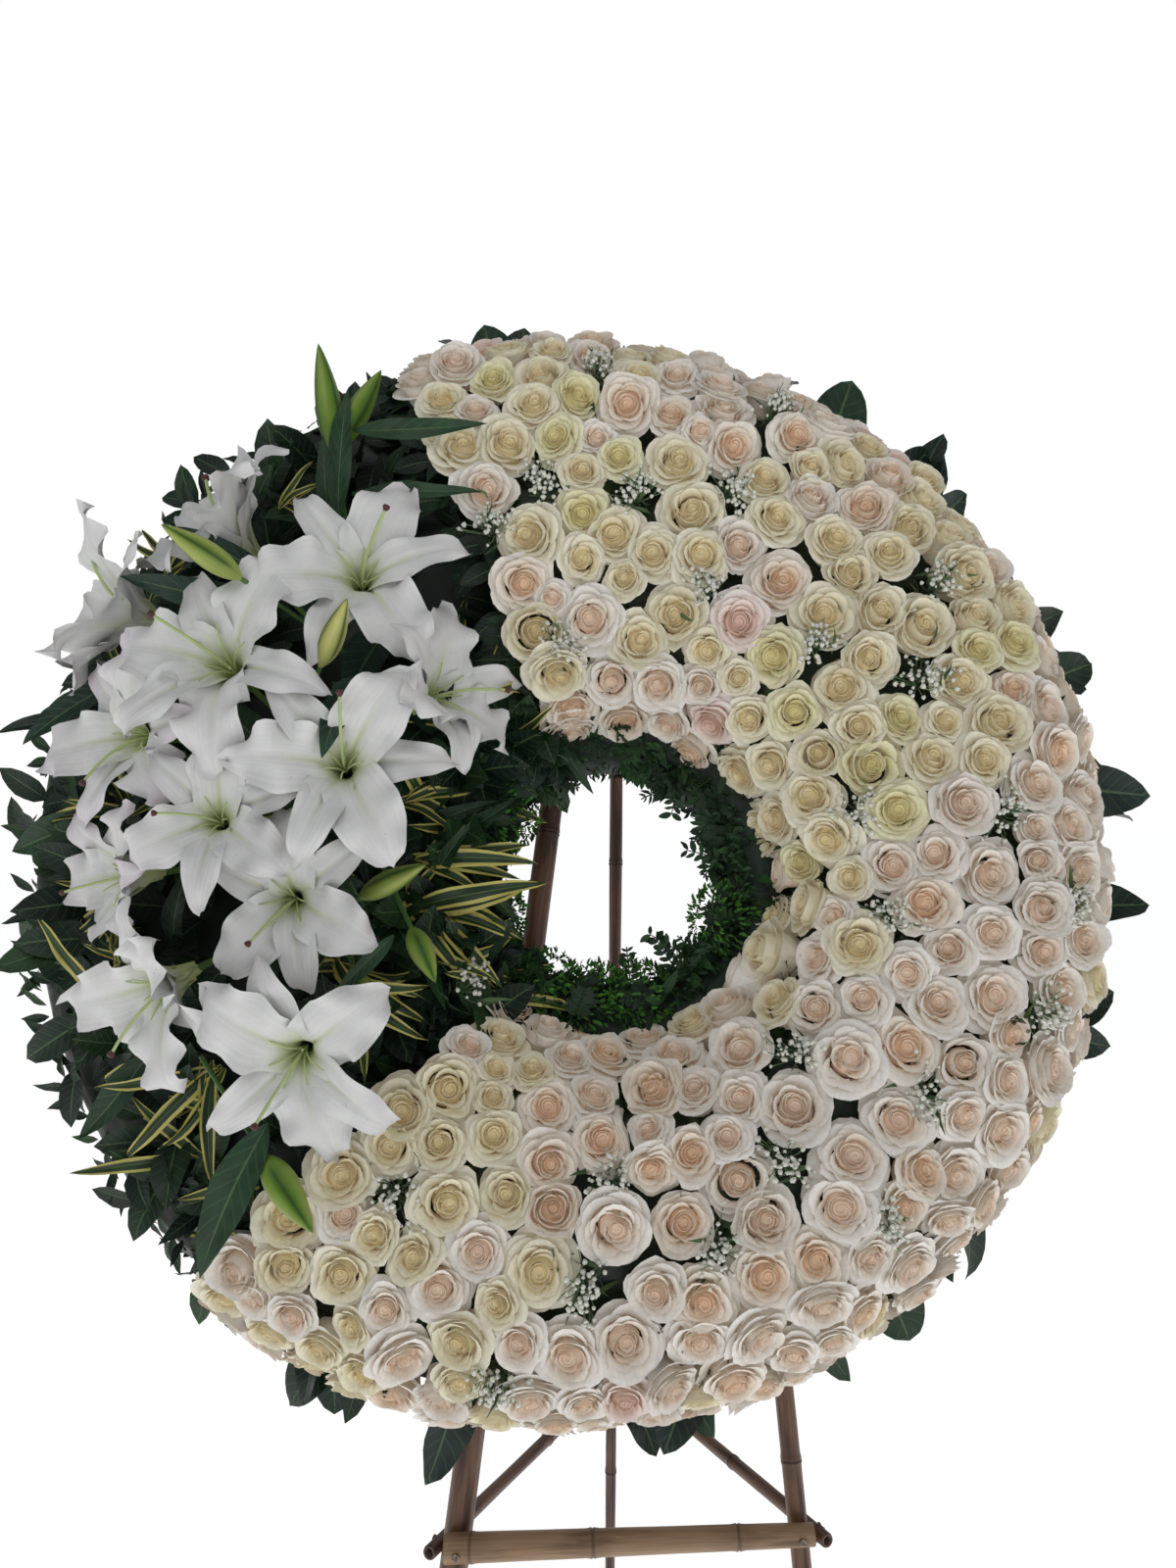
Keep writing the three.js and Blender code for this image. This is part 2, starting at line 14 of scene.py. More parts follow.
import bmesh
import bpy
import numpy as np
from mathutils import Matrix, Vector


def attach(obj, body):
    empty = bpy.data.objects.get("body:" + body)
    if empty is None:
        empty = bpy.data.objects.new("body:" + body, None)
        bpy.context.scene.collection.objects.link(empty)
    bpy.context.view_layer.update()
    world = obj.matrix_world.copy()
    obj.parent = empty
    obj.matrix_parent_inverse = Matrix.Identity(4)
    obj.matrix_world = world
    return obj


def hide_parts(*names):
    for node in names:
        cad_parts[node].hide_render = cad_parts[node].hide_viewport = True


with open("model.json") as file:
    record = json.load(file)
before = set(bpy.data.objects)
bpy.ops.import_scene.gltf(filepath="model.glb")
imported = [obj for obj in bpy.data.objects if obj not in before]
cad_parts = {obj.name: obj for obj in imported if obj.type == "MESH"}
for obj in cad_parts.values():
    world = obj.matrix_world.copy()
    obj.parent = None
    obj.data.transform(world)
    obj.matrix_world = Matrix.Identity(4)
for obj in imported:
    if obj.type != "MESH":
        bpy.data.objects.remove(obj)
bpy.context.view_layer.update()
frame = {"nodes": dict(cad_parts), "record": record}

ROOT = "root"
BAKE_MAP = "OFBake"
TURN = 2 * math.pi

log = logging.getLogger("wreath")

Array = np.ndarray
Random = np.random.Generator
Material = bpy.types.Material
Piece = bpy.types.Object
Colour = tuple[float, float, float]
Colours = tuple[Colour, ...]
Point = tuple[float, float, float]
Pair = tuple[float, float]
Pairs = tuple[Pair, ...]


# --- Vectors and colours ---


def unit(vectors: Array) -> Array:
    """Scales vectors to a length of one along their last axis."""
    return vectors / np.maximum(np.linalg.norm(vectors, axis=-1, keepdims=True), 1e-12)


def square_to(vectors: Array, axes: Array) -> Array:
    """Takes away each vector's share along its axis and scales the rest to one."""
    along = (vectors * axes).sum(-1, keepdims=True)
    return unit(vectors - along * axes)


def smooth(low: float, high: float, value: Array) -> Array:
    """A smooth step, 0 up to low and 1 from high on."""
    share = np.clip((value - low) / (high - low), 0.0, 1.0)
    return share * share * (3.0 - 2.0 * share)


def blend(first: Array, second: Array, share: Array) -> Array:
    """Mixes two colours or points; share is 0 for the first and 1 for the second."""
    part = np.asarray(share, dtype=float)[..., None]
    return np.asarray(first) * (1.0 - part) + np.asarray(second) * part


def paint(code: int) -> Colour:
    """Turns a colour such as 0xE8DCD4 into linear red, green and blue."""
    parts = [(code >> shift & 255) / 255 for shift in (16, 8, 0)]
    linear = [((c + 0.055) / 1.055) ** 2.4 if c > 0.04045 else c / 12.92 for c in parts]
    return (linear[0], linear[1], linear[2])


def frames_on(axes: Array, spin: Array) -> Array:
    """Makes right-handed frames whose third direction is each axis.

    Args:
        axes: unit vectors, shape (k, 3).
        spin: turn of each frame about its axis in radians, shape (k,).

    Returns:
        Matrices of shape (k, 3, 3) with the directions as columns. With no spin the first
        direction lies as near to u as it can.
    """
    helper = np.where(np.abs(axes[:, :1]) < 0.95, [[1.0, 0.0, 0.0]], [[0.0, 1.0, 0.0]])
    first = square_to(helper, axes)
    second = np.cross(axes, first)
    cos, sin = np.cos(spin)[:, None], np.sin(spin)[:, None]
    return np.stack([cos * first + sin * second, cos * second - sin * first, axes], axis=-1)


def polar(angle: Array, radius: Array, height: Array) -> Array:
    """Points from an angle in radians, a radius and a height."""
    return np.stack(np.broadcast_arrays(radius * np.cos(angle), radius * np.sin(angle), height), -1)


def leaning(toward: float, tilt: float) -> Array:
    """The direction that leans `tilt` degrees off n, towards an angle round the wreath's face."""
    side, turn = math.sin(math.radians(tilt)), math.radians(toward)
    return np.array([side * math.cos(turn), side * math.sin(turn), math.cos(math.radians(tilt))])


# --- The wreath's own frame ---


@dataclass(frozen=True)
class Arch:
    """An arched ring's outer surface: the height of its edges and its crest, and its squareness."""

    low: float
    crest: float
    power: float

    def across(self, turn: Array) -> tuple[Array, Array]:
        """Goes over the arch from the hole's side (turn 0) to the rim's side (turn pi).

        Args:
            turn: position over the arch in radians.

        Returns:
            The share of the way from the lip to the rim, and the height.
        """
        cos, sin = np.cos(turn), np.maximum(np.sin(turn), 0.0)
        share = 0.5 - 0.5 * np.sign(cos) * np.abs(cos) ** (2 / self.power)
        return share, self.low + (self.crest - self.low) * sin ** (2 / self.power)

    def turns(self, places: Pairs) -> tuple[Array, Array]:
        """Angles and turns, in radians, of places given as an angle in degrees and a share."""
        angle, share = np.array(places).T
        side = 1 - 2 * share
        return np.radians(angle), np.arccos(np.sign(side) * np.abs(side) ** (self.power / 2))


@dataclass(frozen=True)
class Slope:
    """Where the wreath lies: its lean, its hole, its lip and its outer circle."""

    shift: Point
    lean: float = 11.5
    hole_x: float = -0.003
    hole_height: float = 1.122
    lip: float = 0.155
    rim: float = 0.620
    rim_u: float = -0.066
    rim_v: float = 0.055
    inside: float = 0.400

    @classmethod
    def from_record(cls, foot_x: float = -0.225) -> "Slope":
        """Finds how far the object was moved to stand over its origin, from its left foot."""
        foot = next(m for m in frame["record"]["mounts"] if m["name"] == "foot_left")["pos_m"]
        return cls((foot[0] - foot_x, foot[1], 0.0))

    def world(self, local: Array) -> Array:
        """Moves points from u, v and n to the world."""
        lean = math.radians(self.lean)
        back = self.hole_height * math.tan(lean)
        origin = np.array(self.shift) + [self.hole_x, back, self.hole_height]
        up, out = [0, math.sin(lean), math.cos(lean)], [0, -math.cos(lean), math.sin(lean)]
        return local @ np.array([[1, 0, 0], up, out]) + origin

    def rim_radius(self, angle: Array) -> Array:
        """From the hole's middle to the outer circle, at an angle in radians."""
        along = self.rim_u * np.cos(angle) + self.rim_v * np.sin(angle)
        return along + np.sqrt(self.rim**2 - self.rim_u**2 - self.rim_v**2 + along**2)

    def radius(self, angle: Array, share: Array) -> Array:
        """The radius at a share of the way from the lip (0) to the rim (1)."""
        width = np.where(share < 0, self.inside, self.rim_radius(angle) - self.lip)
        return self.lip + share * width

    def point(self, angle: Array, share: Array, height: Array) -> Array:
        """A local point at an angle in radians, a share of the way to the rim and a height."""
        return polar(angle, self.radius(angle, np.asarray(share)), height)

    def _on(self, arch: Arch, angle: Array, turn: Array) -> Array:
        """Points on an arch."""
        share, height = arch.across(turn)
        return self.point(angle, share, height)

    def over(self, arch: Arch, angle: Array, turn: Array) -> tuple[Array, Array]:
        """Points on an arch, and the directions out of it.

        Args:
            arch: the arched surface.
            angle: angles round the hole in radians.
            turn: positions over the arch in radians.

        Returns:
            The points and the unit normals.
        """
        round_it = self._on(arch, angle + NUDGE, turn) - self._on(arch, angle - NUDGE, turn)
        over_it = self._on(arch, angle, turn + NUDGE) - self._on(arch, angle, turn - NUDGE)
        return self._on(arch, angle, turn), unit(np.cross(over_it, round_it))


# The roses stand on the dome, and the leaves round the lilies on the bed.
DOME = Arch(low=0.024, crest=0.210, power=2.6)
BED = Arch(low=0.024, crest=0.126, power=4.0)
# The roses go round the hole from the start to the end; the lilies fill what is left.
FLOWER_START, FLOWER_END = -135.0, 112.5
# The direction straight out of the slope, for many leaves at once.
OUT = np.array([[0.0, 0.0, 1.0]])
# What would lie under the floor is lifted to it, but for a little that keeps leaves apart.
FLOOR = 0.020
SETTLE = 0.005
SETTLE_REACH = 0.03
# A small step in radians, to measure slopes with, and the gap between corners that are one.
NUDGE = 1e-3
HAIR = 1e-6
# Sprigs of baby's breath: an angle, and a share of the way from the lip to the rim.
SPRIGS = (
    (92, 0.82), (101, 0.52), (110, 0.45), (87, 0.50), (73, 0.56), (73, 0.33), (103, 0.18),
    (49, 0.35), (42, 0.70), (32, 0.52), (14, 0.25), (9, 0.61), (-10, 0.32), (-4, 0.80),
    (-45, 0.25), (-37, 0.57), (-18, 0.78), (-92, 0.35), (-61, 0.43), (-125, 0.50),
    (-95, 0.60), (-104, 0.83), (-145, 0.06), (-53, 0.71), (71, 0.82), (-76, 0.56),
)


# --- Patches: a petal, a leaf or a stem is a grid of points, and many grids make one mesh ---


def set_out(name: str, data: bpy.types.ID) -> Piece:
    """Makes an object of a mesh, a light or a camera, and puts it in the scene."""
    made = bpy.data.objects.new(name, data)
    bpy.context.scene.collection.objects.link(made)
    return made


@dataclass
class Patches:
    """Grids that are gathered into one mesh.

    Each grid gets a cell of its own in a map, and the attribute `grain`: how far across (-1 to 1)
    and along (0 to 1) the grid a corner lies, and a random number for the whole grid. The
    attribute `tint` holds its colour. With a floor, nothing lies more than SETTLE under it.
    """

    name: str
    seed: int = 1
    floor: float | None = None
    batches: list[tuple[Array, Array, int]] = field(default_factory=list)

    def add(self, points: Array, tint: Array | Colour, finish: int = 0) -> None:
        """Adds grids.

        Args:
            points: shape (grids, rows, columns, 3), or a single grid without the first axis.
            tint: a colour, or colours of a shape that fits the points.
            finish: which of the mesh's materials the grids wear.
        """
        if points.ndim == 3:
            points = points[None]
        if self.floor is not None:
            low = np.minimum(points[..., 2] - self.floor, 0.0)
            lift = low - SETTLE * np.tanh(low / SETTLE_REACH)
            points = points - np.stack([0 * low, 0 * low, lift], -1)
        colours = np.broadcast_to(np.asarray(tint, dtype=float), points.shape)
        self.batches.append((points, colours, finish))

    def _grain(self, shape: tuple[int, int, int], random: Random) -> Array:
        """Across, along and a random number for every corner of a batch of grids."""
        count, rows, columns = shape
        across = np.broadcast_to(np.linspace(-1, 1, columns)[None, None, :], shape)
        along = np.broadcast_to(np.linspace(0, 1, rows)[None, :, None], shape)
        own = np.broadcast_to(random.random(count)[:, None, None], shape)
        return np.stack([across, along, own], -1)

    def build(self, slope: Slope | None, *materials: Material) -> Piece:
        """Makes the mesh object.

        Args:
            slope: moves the points to the world, or None if they are there already.
            materials: one for each finish number that was used.

        Returns:
            The new object, linked to the scene.
        """
        random = np.random.default_rng(self.seed)
        side = math.ceil(math.sqrt(sum(points.shape[0] for points, _, _ in self.batches)))
        corners, quads, colours, grains, places, finishes = [], [], [], [], [], []
        first = cell = 0
        for points, tint, finish in self.batches:
            count, rows, columns, _ = points.shape
            grid = np.arange(rows * columns).reshape(rows, columns)
            quad = np.stack([grid[:-1, :-1], grid[:-1, 1:], grid[1:, 1:], grid[1:, :-1]], -1)
            quad = quad.reshape(-1, 4)
            start = first + np.arange(count)[:, None, None] * rows * columns
            quads.append((quad[None] + start).reshape(-1, 4))
            grain = self._grain((count, rows, columns), random)
            number = cell + np.arange(count)[:, None, None]
            inset = 0.5 + 0.44 * np.stack([grain[..., 0], 2 * grain[..., 1] - 1], -1)
            corner = np.stack(np.broadcast_arrays(number % side, number // side), -1)
            places.append(((corner + inset) / side).reshape(-1, 2))
            grains.append(grain.reshape(-1, 3))
            corners.append(points.reshape(-1, 3))
            colours.append(tint.reshape(-1, 3))
            finishes.append(np.full(count * len(quad), finish))
            first += count * rows * columns
            cell += count
        points, faces = np.concatenate(corners), np.concatenate(quads)
        tints = np.concatenate(colours)

        mesh = bpy.data.meshes.new(self.name)
        mesh.vertices.add(len(points))
        mesh.loops.add(faces.size)
        mesh.polygons.add(len(faces))
        place = slope.world(points) if slope else points
        mesh.vertices.foreach_set("co", np.ascontiguousarray(place, dtype=np.float32).ravel())
        mesh.loops.foreach_set("vertex_index", faces.ravel().astype(np.int32))
        mesh.polygons.foreach_set("loop_start", np.arange(0, faces.size, 4, dtype=np.int32))
        mesh.polygons.foreach_set("material_index", np.concatenate(finishes).astype(np.int32))
        mesh.polygons.foreach_set("use_smooth", np.ones(len(faces), dtype=bool))
        mesh.update(calc_edges=True)
        layer = mesh.color_attributes.new("tint", "FLOAT_COLOR", "POINT")
        opaque = np.c_[tints, np.ones(len(tints))]
        layer.data.foreach_set("color", opaque.astype(np.float32).ravel())
        layer = mesh.attributes.new("grain", "FLOAT_VECTOR", "POINT")
        layer.data.foreach_set("vector", np.concatenate(grains).astype(np.float32).ravel())
        layer = mesh.uv_layers.new(name=BAKE_MAP)
        uv = np.concatenate(places)[faces.ravel()]
        layer.data.foreach_set("uv", uv.astype(np.float32).ravel())
        for material in materials:
            mesh.materials.append(material)
        piece = set_out(self.name, mesh)
        self._close_seams(mesh)
        return piece

    @staticmethod
    def _close_seams(mesh: bpy.types.Mesh) -> None:
        """Joins corners that lie in one place, as at a tube's seam or a petal's point."""
        edit = bmesh.new()
        edit.from_mesh(mesh)
        bmesh.ops.remove_doubles(edit, verts=edit.verts, dist=HAIR)
        edit.to_mesh(mesh)
        edit.free()
        mesh.update()


def tube(path: Array, radius: Array, sides: int = 6) -> Array:
    """A round tube along a path.

    Args:
        path: points, shape (rows, 3).
        radius: the radius at each point, or one radius.
        sides: how many sides the tube has.

    Returns:
        A grid of shape (rows, sides + 1, 3).
    """
    tangent = unit(np.gradient(path, axis=0))
    helper = np.eye(3)[np.abs(tangent.mean(0)).argmin()]
    first = square_to(np.broadcast_to(helper, tangent.shape), tangent)
    second = np.cross(tangent, first)
    turn = np.linspace(0, TURN, sides + 1)[None, :, None]
    ring = np.cos(turn) * first[:, None] + np.sin(turn) * second[:, None]
    ring[:, -1] = ring[:, 0]
    thick = np.broadcast_to(np.asarray(radius, dtype=float), (len(path),))[:, None, None]
    return path[:, None] + ring * thick


def curve(start: Array, pull: Array, end: Array, steps: int) -> Array:
    """Points along a curve from start to end that is drawn towards a third point."""
    t = np.linspace(0, 1, steps)[:, None]
    return (1 - t) ** 2 * start + 2 * t * (1 - t) * pull + t**2 * end


# --- Finishes ---

Socket = bpy.types.NodeSocket
Value = float | Colour | tuple[float, ...] | Socket


class Shader:
    """One node material while it is put together."""

    def __init__(self, name: str, **sockets: Value) -> None:
        """Starts a material.

        Args:
            name: the material's name.
            sockets: values for the surface's sockets, with _ for each space in a socket's name.
        """
        self.material = bpy.data.materials.new(name)
        self.material.use_nodes = True
        self.tree = self.material.node_tree
        self.surface = self.tree.nodes["Principled BSDF"]
        for socket, value in sockets.items():
            self.set(self.surface.inputs[socket.replace("_", " ")], value)

    def set(self, socket: Socket, value: Value) -> None:
        """Links a socket to another one, or gives it a plain value."""
        if isinstance(value, bpy.types.NodeSocket):
            self.tree.links.new(value, socket)
        elif socket.type == "RGBA":
            socket.default_value = (*value, 1.0)
        else:
            socket.default_value = value

    def node(self, kind: str, inputs: dict[str | int, Value], **settings: str | int) -> bpy.types.Node:
        """Adds a node, sets its options and fills its inputs."""
        made = self.tree.nodes.new("ShaderNode" + kind)
        for option, choice in settings.items():
            setattr(made, option, choice)
        for socket, value in inputs.items():
            self.set(made.inputs[socket], value)
        return made

    def attribute(self, name: str, output: str) -> Socket:
        """Reads an attribute of the mesh."""
        return self.node("Attribute", {}, attribute_name=name).outputs[output]

    def grain(self) -> tuple[Socket, Socket, Socket]:
        """How far across and along its grid a point lies, and the grid's random number."""
        parts = self.node("SeparateXYZ", {0: self.attribute("grain", "Vector")}).outputs
        return parts[0], parts[1], parts[2]

    def here(self) -> Socket:
        """The object's own coordinates, in metres."""
        return self.node("TexCoord", {}).outputs["Object"]

    def join(self, x: Value, y: Value, z: Value) -> Socket:
        """A vector from three numbers."""
        return self.node("CombineXYZ", {0: x, 1: y, 2: z}).outputs[0]

    def math(self, operation: str, *values: Value) -> Socket:
        """One sum."""
        return self.node("Math", dict(enumerate(values)), operation=operation).outputs[0]

    def times(self, first: Value, second: Value) -> Socket:
        """The product of two numbers."""
        return self.math("MULTIPLY", first, second)

    def noise(self, place: Socket, scale: float, detail: float = 2.0) -> Socket:
        """Cloudy noise between 0 and 1."""
        inputs = {"Vector": place, "Scale": scale, "Detail": detail}
        return self.node("TexNoise", inputs).outputs[0]

    def fade(
        self, value: Socket, low: float, high: float, start: float = 0.0, end: float = 1.0
    ) -> Socket:
        """Takes a value from `start` at low to `end` at high, smoothly."""
        inputs = {0: value, 1: low, 2: high, 3: start, 4: end}
        return self.node("MapRange", inputs, interpolation_type="SMOOTHSTEP").outputs[0]

    def mix(self, first: Value, second: Value, share: Value, blend_type: str = "MIX") -> Socket:
        """Mixes two colours."""
        inputs = {0: share, 6: first, 7: second}
        return self.node("Mix", inputs, data_type="RGBA", blend_type=blend_type).outputs[2]

    def bump(self, height: Socket, distance: float, strength: float = 1.0) -> None:
        """Raises the surface by a height between 0 and 1 times a distance."""
        inputs = {"Height": height, "Distance": distance, "Strength": strength}
        self.set(self.surface.inputs["Normal"], self.node("Bump", inputs).outputs[0])

    def finish(self, colour: Socket, roughness: Socket | None = None) -> Material:
        """Connects the colour and, where it varies, the roughness."""
        self.set(self.surface.inputs["Base Color"], colour)
        if roughness is not None:
            self.set(self.surface.inputs["Roughness"], roughness)
        return self.material


@dataclass(frozen=True)
class PetalFinish:
    """A soft petal: its own tint, fine veins from base to rim, faint clouds, and a faint painted glow."""

    name: str
    veins: float
    depth: float
    shade: float
    rough: float
    glow: float
    specks: float = 0.0
    speck: Colour = paint(0x6E5A5A)
    speck_scale: float = 150.0
    cloud_scale: float = 70.0
    # A warm painted glow, given off as emission, that lifts the shade in the petals' folds and gaps.
    painted_glow: Colour = (1.0, 0.82, 0.62)
    painted_glow_strength: float = 0.0

    def make(self) -> Material:
        """Makes the material."""
        shader = Shader(
            self.name,
            Subsurface_Weight=self.glow,
            Subsurface_Scale=0.006,
            Subsurface_Radius=(1.0, 0.55, 0.35),
            Specular_IOR_Level=0.35,
            Sheen_Weight=0.12,
            Sheen_Roughness=0.5,
            # The painted glow: the petal gives off a little warm light of its own.
            Emission_Color=self.painted_glow,
            Emission_Strength=self.painted_glow_strength,
        )
        across, along, own = shader.grain()
        streak = shader.join(
            shader.times(across, self.veins),
            shader.times(along, 1.6),
            shader.times(own, 40.0),
        )
        veins = shader.noise(streak, 1.0, 3.0)
        clouds = shader.noise(shader.here(), self.cloud_scale, 3.0)
        light = shader.fade(veins, 0.3, 0.7, 1.0 - self.shade, 1.0 + self.shade * 0.4)
        soft = shader.fade(clouds, 0.3, 0.7, 1.0 - self.shade, 1.0)
        both = shader.times(light, soft)
        colour = shader.mix(
            shader.attribute("tint", "Color"), shader.join(both, both, both), 1.0, "MULTIPLY"
        )
        if self.specks:
            spread = {"Vector": shader.here(), "Scale": self.speck_scale}
            dots = shader.node("TexVoronoi", spread)
            near = shader.fade(dots.outputs["Distance"], 0.05, 0.1, 1.0, 0.0)
            few = shader.fade(shader.noise(shader.here(), 38.0), 0.56, 0.6)
            spot = shader.times(shader.times(near, few), self.specks)
            colour = shader.mix(colour, self.speck, spot)
        shader.bump(veins, self.depth, 0.6)
        rough = shader.fade(clouds, 0.3, 0.7, self.rough - 0.05, self.rough + 0.08)
        return shader.finish(colour, rough)


@dataclass(frozen=True)
class LeafFinish:
    """A leaf: its tint with a paler midrib and side veins, and if it has one a pale margin."""

    name: str
    rough: float = 0.42
    rib: Colour = paint(0x5C7A50)
    rib_width: float = 0.09
    side_veins: float = 9.0
    relief: float = 0.0006
    margin: Colour | None = None
    margin_from: float = 0.55
    cloud_scale: float = 55.0

    def make(self) -> Material:
        """Makes the material."""
        shader = Shader(
            self.name, Specular_IOR_Level=0.40, Subsurface_Weight=0.05, Subsurface_Scale=0.002
        )
        across, along, own = shader.grain()
        off = shader.math("ABSOLUTE", across)
        slant = shader.math("SUBTRACT", along, shader.times(off, 0.16))
        wave = shader.math("SINE", shader.times(slant, self.side_veins * TURN))
        veins = shader.fade(wave, 0.55, 1.0)
        clouds = shader.noise(shader.here(), self.cloud_scale, 4.0)
        streak = shader.join(
            shader.times(across, 5.0), along, shader.times(own, 30.0)
        )
        lines = shader.noise(streak, 1.4, 3.0)
        light = shader.fade(clouds, 0.3, 0.7, 0.72, 1.2)
        tint = shader.attribute("tint", "Color")
        colour = shader.mix(tint, shader.join(light, light, light), 1.0, "MULTIPLY")
        colour = shader.mix(colour, self.rib, shader.times(veins, 0.12))
        if self.margin:
            edge = shader.math("ADD", off, shader.fade(lines, 0.3, 0.7, -0.12, 0.12))
            share = shader.fade(edge, self.margin_from, self.margin_from + 0.1)
            colour = shader.mix(colour, self.margin, share)
        colour = shader.mix(colour, self.rib, shader.fade(off, 0.0, self.rib_width, 0.75, 0.0))
        groove = shader.fade(off, 0.0, self.rib_width * 1.6, 0.0, 0.7)
        raised = shader.times(veins, 0.3)
        shader.bump(shader.math("SUBTRACT", groove, raised), self.relief)
        rough = shader.fade(clouds, 0.3, 0.7, self.rough - 0.08, self.rough + 0.12)
        return shader.finish(colour, rough)


@dataclass(frozen=True)
class BambooFinish:
    """Dried bamboo: fine fibres along the pole and darker, weathered patches."""

    name: str
    along: Point
    stain: Colour
    stained: float = 0.5

    def make(self) -> Material:
        """Makes the material."""
        shader = Shader(self.name, Specular_IOR_Level=0.5, Coat_Weight=0.12, Coat_Roughness=0.3)
        here = shader.here()
        dot = shader.node("VectorMath", {0: here, 1: self.along}, operation="DOT_PRODUCT")
        run = dot.outputs["Value"]
        across = shader.grain()[0]
        turn = shader.times(across, math.pi)
        ring = [shader.math(operation, turn) for operation in ("COSINE", "SINE")]
        fibres = shader.join(
            shader.times(ring[0], 9.0),
            shader.times(ring[1], 9.0),
            shader.times(run, 8.0),
        )
        fine = shader.noise(fibres, 2.2, 5.0)
        patch = shader.join(ring[0], ring[1], shader.times(run, 9.0))
        worn = shader.noise(patch, 1.1, 4.0)
        light = shader.fade(fine, 0.25, 0.75, 0.72, 1.2)
        tint = shader.attribute("tint", "Color")
        colour = shader.mix(tint, shader.join(light, light, light), 1.0, "MULTIPLY")
        low = 0.62 - 0.3 * self.stained
        colour = shader.mix(colour, self.stain, shader.fade(worn, low, low + 0.2, 0.0, 0.85))
        shader.bump(fine, 0.0004, 0.7)
        return shader.finish(colour, shader.fade(worn, 0.3, 0.7, 0.38, 0.6))


@dataclass(frozen=True)
class GrainyFinish:
    """A plain stuff that is told by its grain: foam, board or steel."""

    name: str
    light: Colour
    dark: Colour
    scale: float
    rough: float
    relief: float
    metal: float = 0.0
    spots: float = 0.0

    def make(self) -> Material:
        """Makes the material."""
        shader = Shader(self.name, Metallic=self.metal)
        here = shader.here()
        grain = shader.noise(here, self.scale, 5.0)
        broad = shader.noise(here, self.scale / 12, 2.0)
        colour = shader.mix(self.light, self.dark, shader.fade(grain, 0.3, 0.7))
        colour = shader.mix(colour, self.dark, shader.fade(broad, 0.5, 0.8, 0.0, 0.6))
        height = grain
        if self.spots:
            cells = shader.node("TexVoronoi", {"Vector": here, "Scale": self.spots})
            beads = cells.outputs["Distance"]
            fine = shader.times(grain, 0.4)
            height = shader.math("ADD", fine, shader.fade(beads, 0.0, 0.7, 1.0, 0.0))
            colour = shader.mix(colour, self.dark, shader.fade(beads, 0.45, 0.8, 0.0, 0.7))
        shader.bump(height, self.relief)
        rough = shader.fade(grain, 0.3, 0.7, self.rough - 0.06, self.rough + 0.06)
        return shader.finish(colour, rough)


# --- Pieces and the frame ---


def dress(piece: Piece, slot: str, *nodes: str) -> Piece:
    """Ties a finished piece to the frame.

    Args:
        piece: the new object.
        slot: the record's material slot for its finish; not used.
        nodes: the CAD nodes that it stands for.

    Returns:
        The same object.
    """
    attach(piece, ROOT)
    if nodes:
        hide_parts(*nodes)
    log.info("%s: %d faces", piece.name, len(piece.data.polygons))
    return piece


# --- Roses ---


@dataclass(frozen=True)
class RoseTone:
    """A rose's colours: outer petals, petals nearer the middle, the heart, and the painted shade of deep
    folds.
    """

    outer: Colour
    inner: Colour
    heart: Colour
    # The painted shade of deep folds: a darker, warmer colour.
    fold: Colour


class Tone(Enum):
    """The kinds of rose in the wreath."""

    # Each tone's last colour is the painted shade of its folds.
    BLUSH = RoseTone(paint(0xF2F0EC), paint(0xF1EBE2), paint(0xF0DECB), paint(0xE3B79A))
    PEACH = RoseTone(paint(0xF2EEE6), paint(0xF1E6D8), paint(0xF0D6BA), paint(0xE2AC88))
    CREAM = RoseTone(paint(0xF0EDDC), paint(0xEFEACE), paint(0xECDFB4), paint(0xD9C088))
    LIME = RoseTone(paint(0xEDECD0), paint(0xEBE8BE), paint(0xE6DEA4), paint(0xCEBE78))
    PINK = RoseTone(paint(0xF3EBE8), paint(0xF0DFD8), paint(0xEBCFC2), paint(0xD4A494))


@dataclass(frozen=True)
class PetalRing:
    """One ring of petals: where its rim is, how its wall leans and how its lip rolls.

    Lengths are in radii of the rose, and angles in radians off the rose's axis.
    """

    petals: int
    reach: float
    top: float
    lean: float
    roll: float
    roll_from: float
    half: float
    rows: tuple[float, ...]


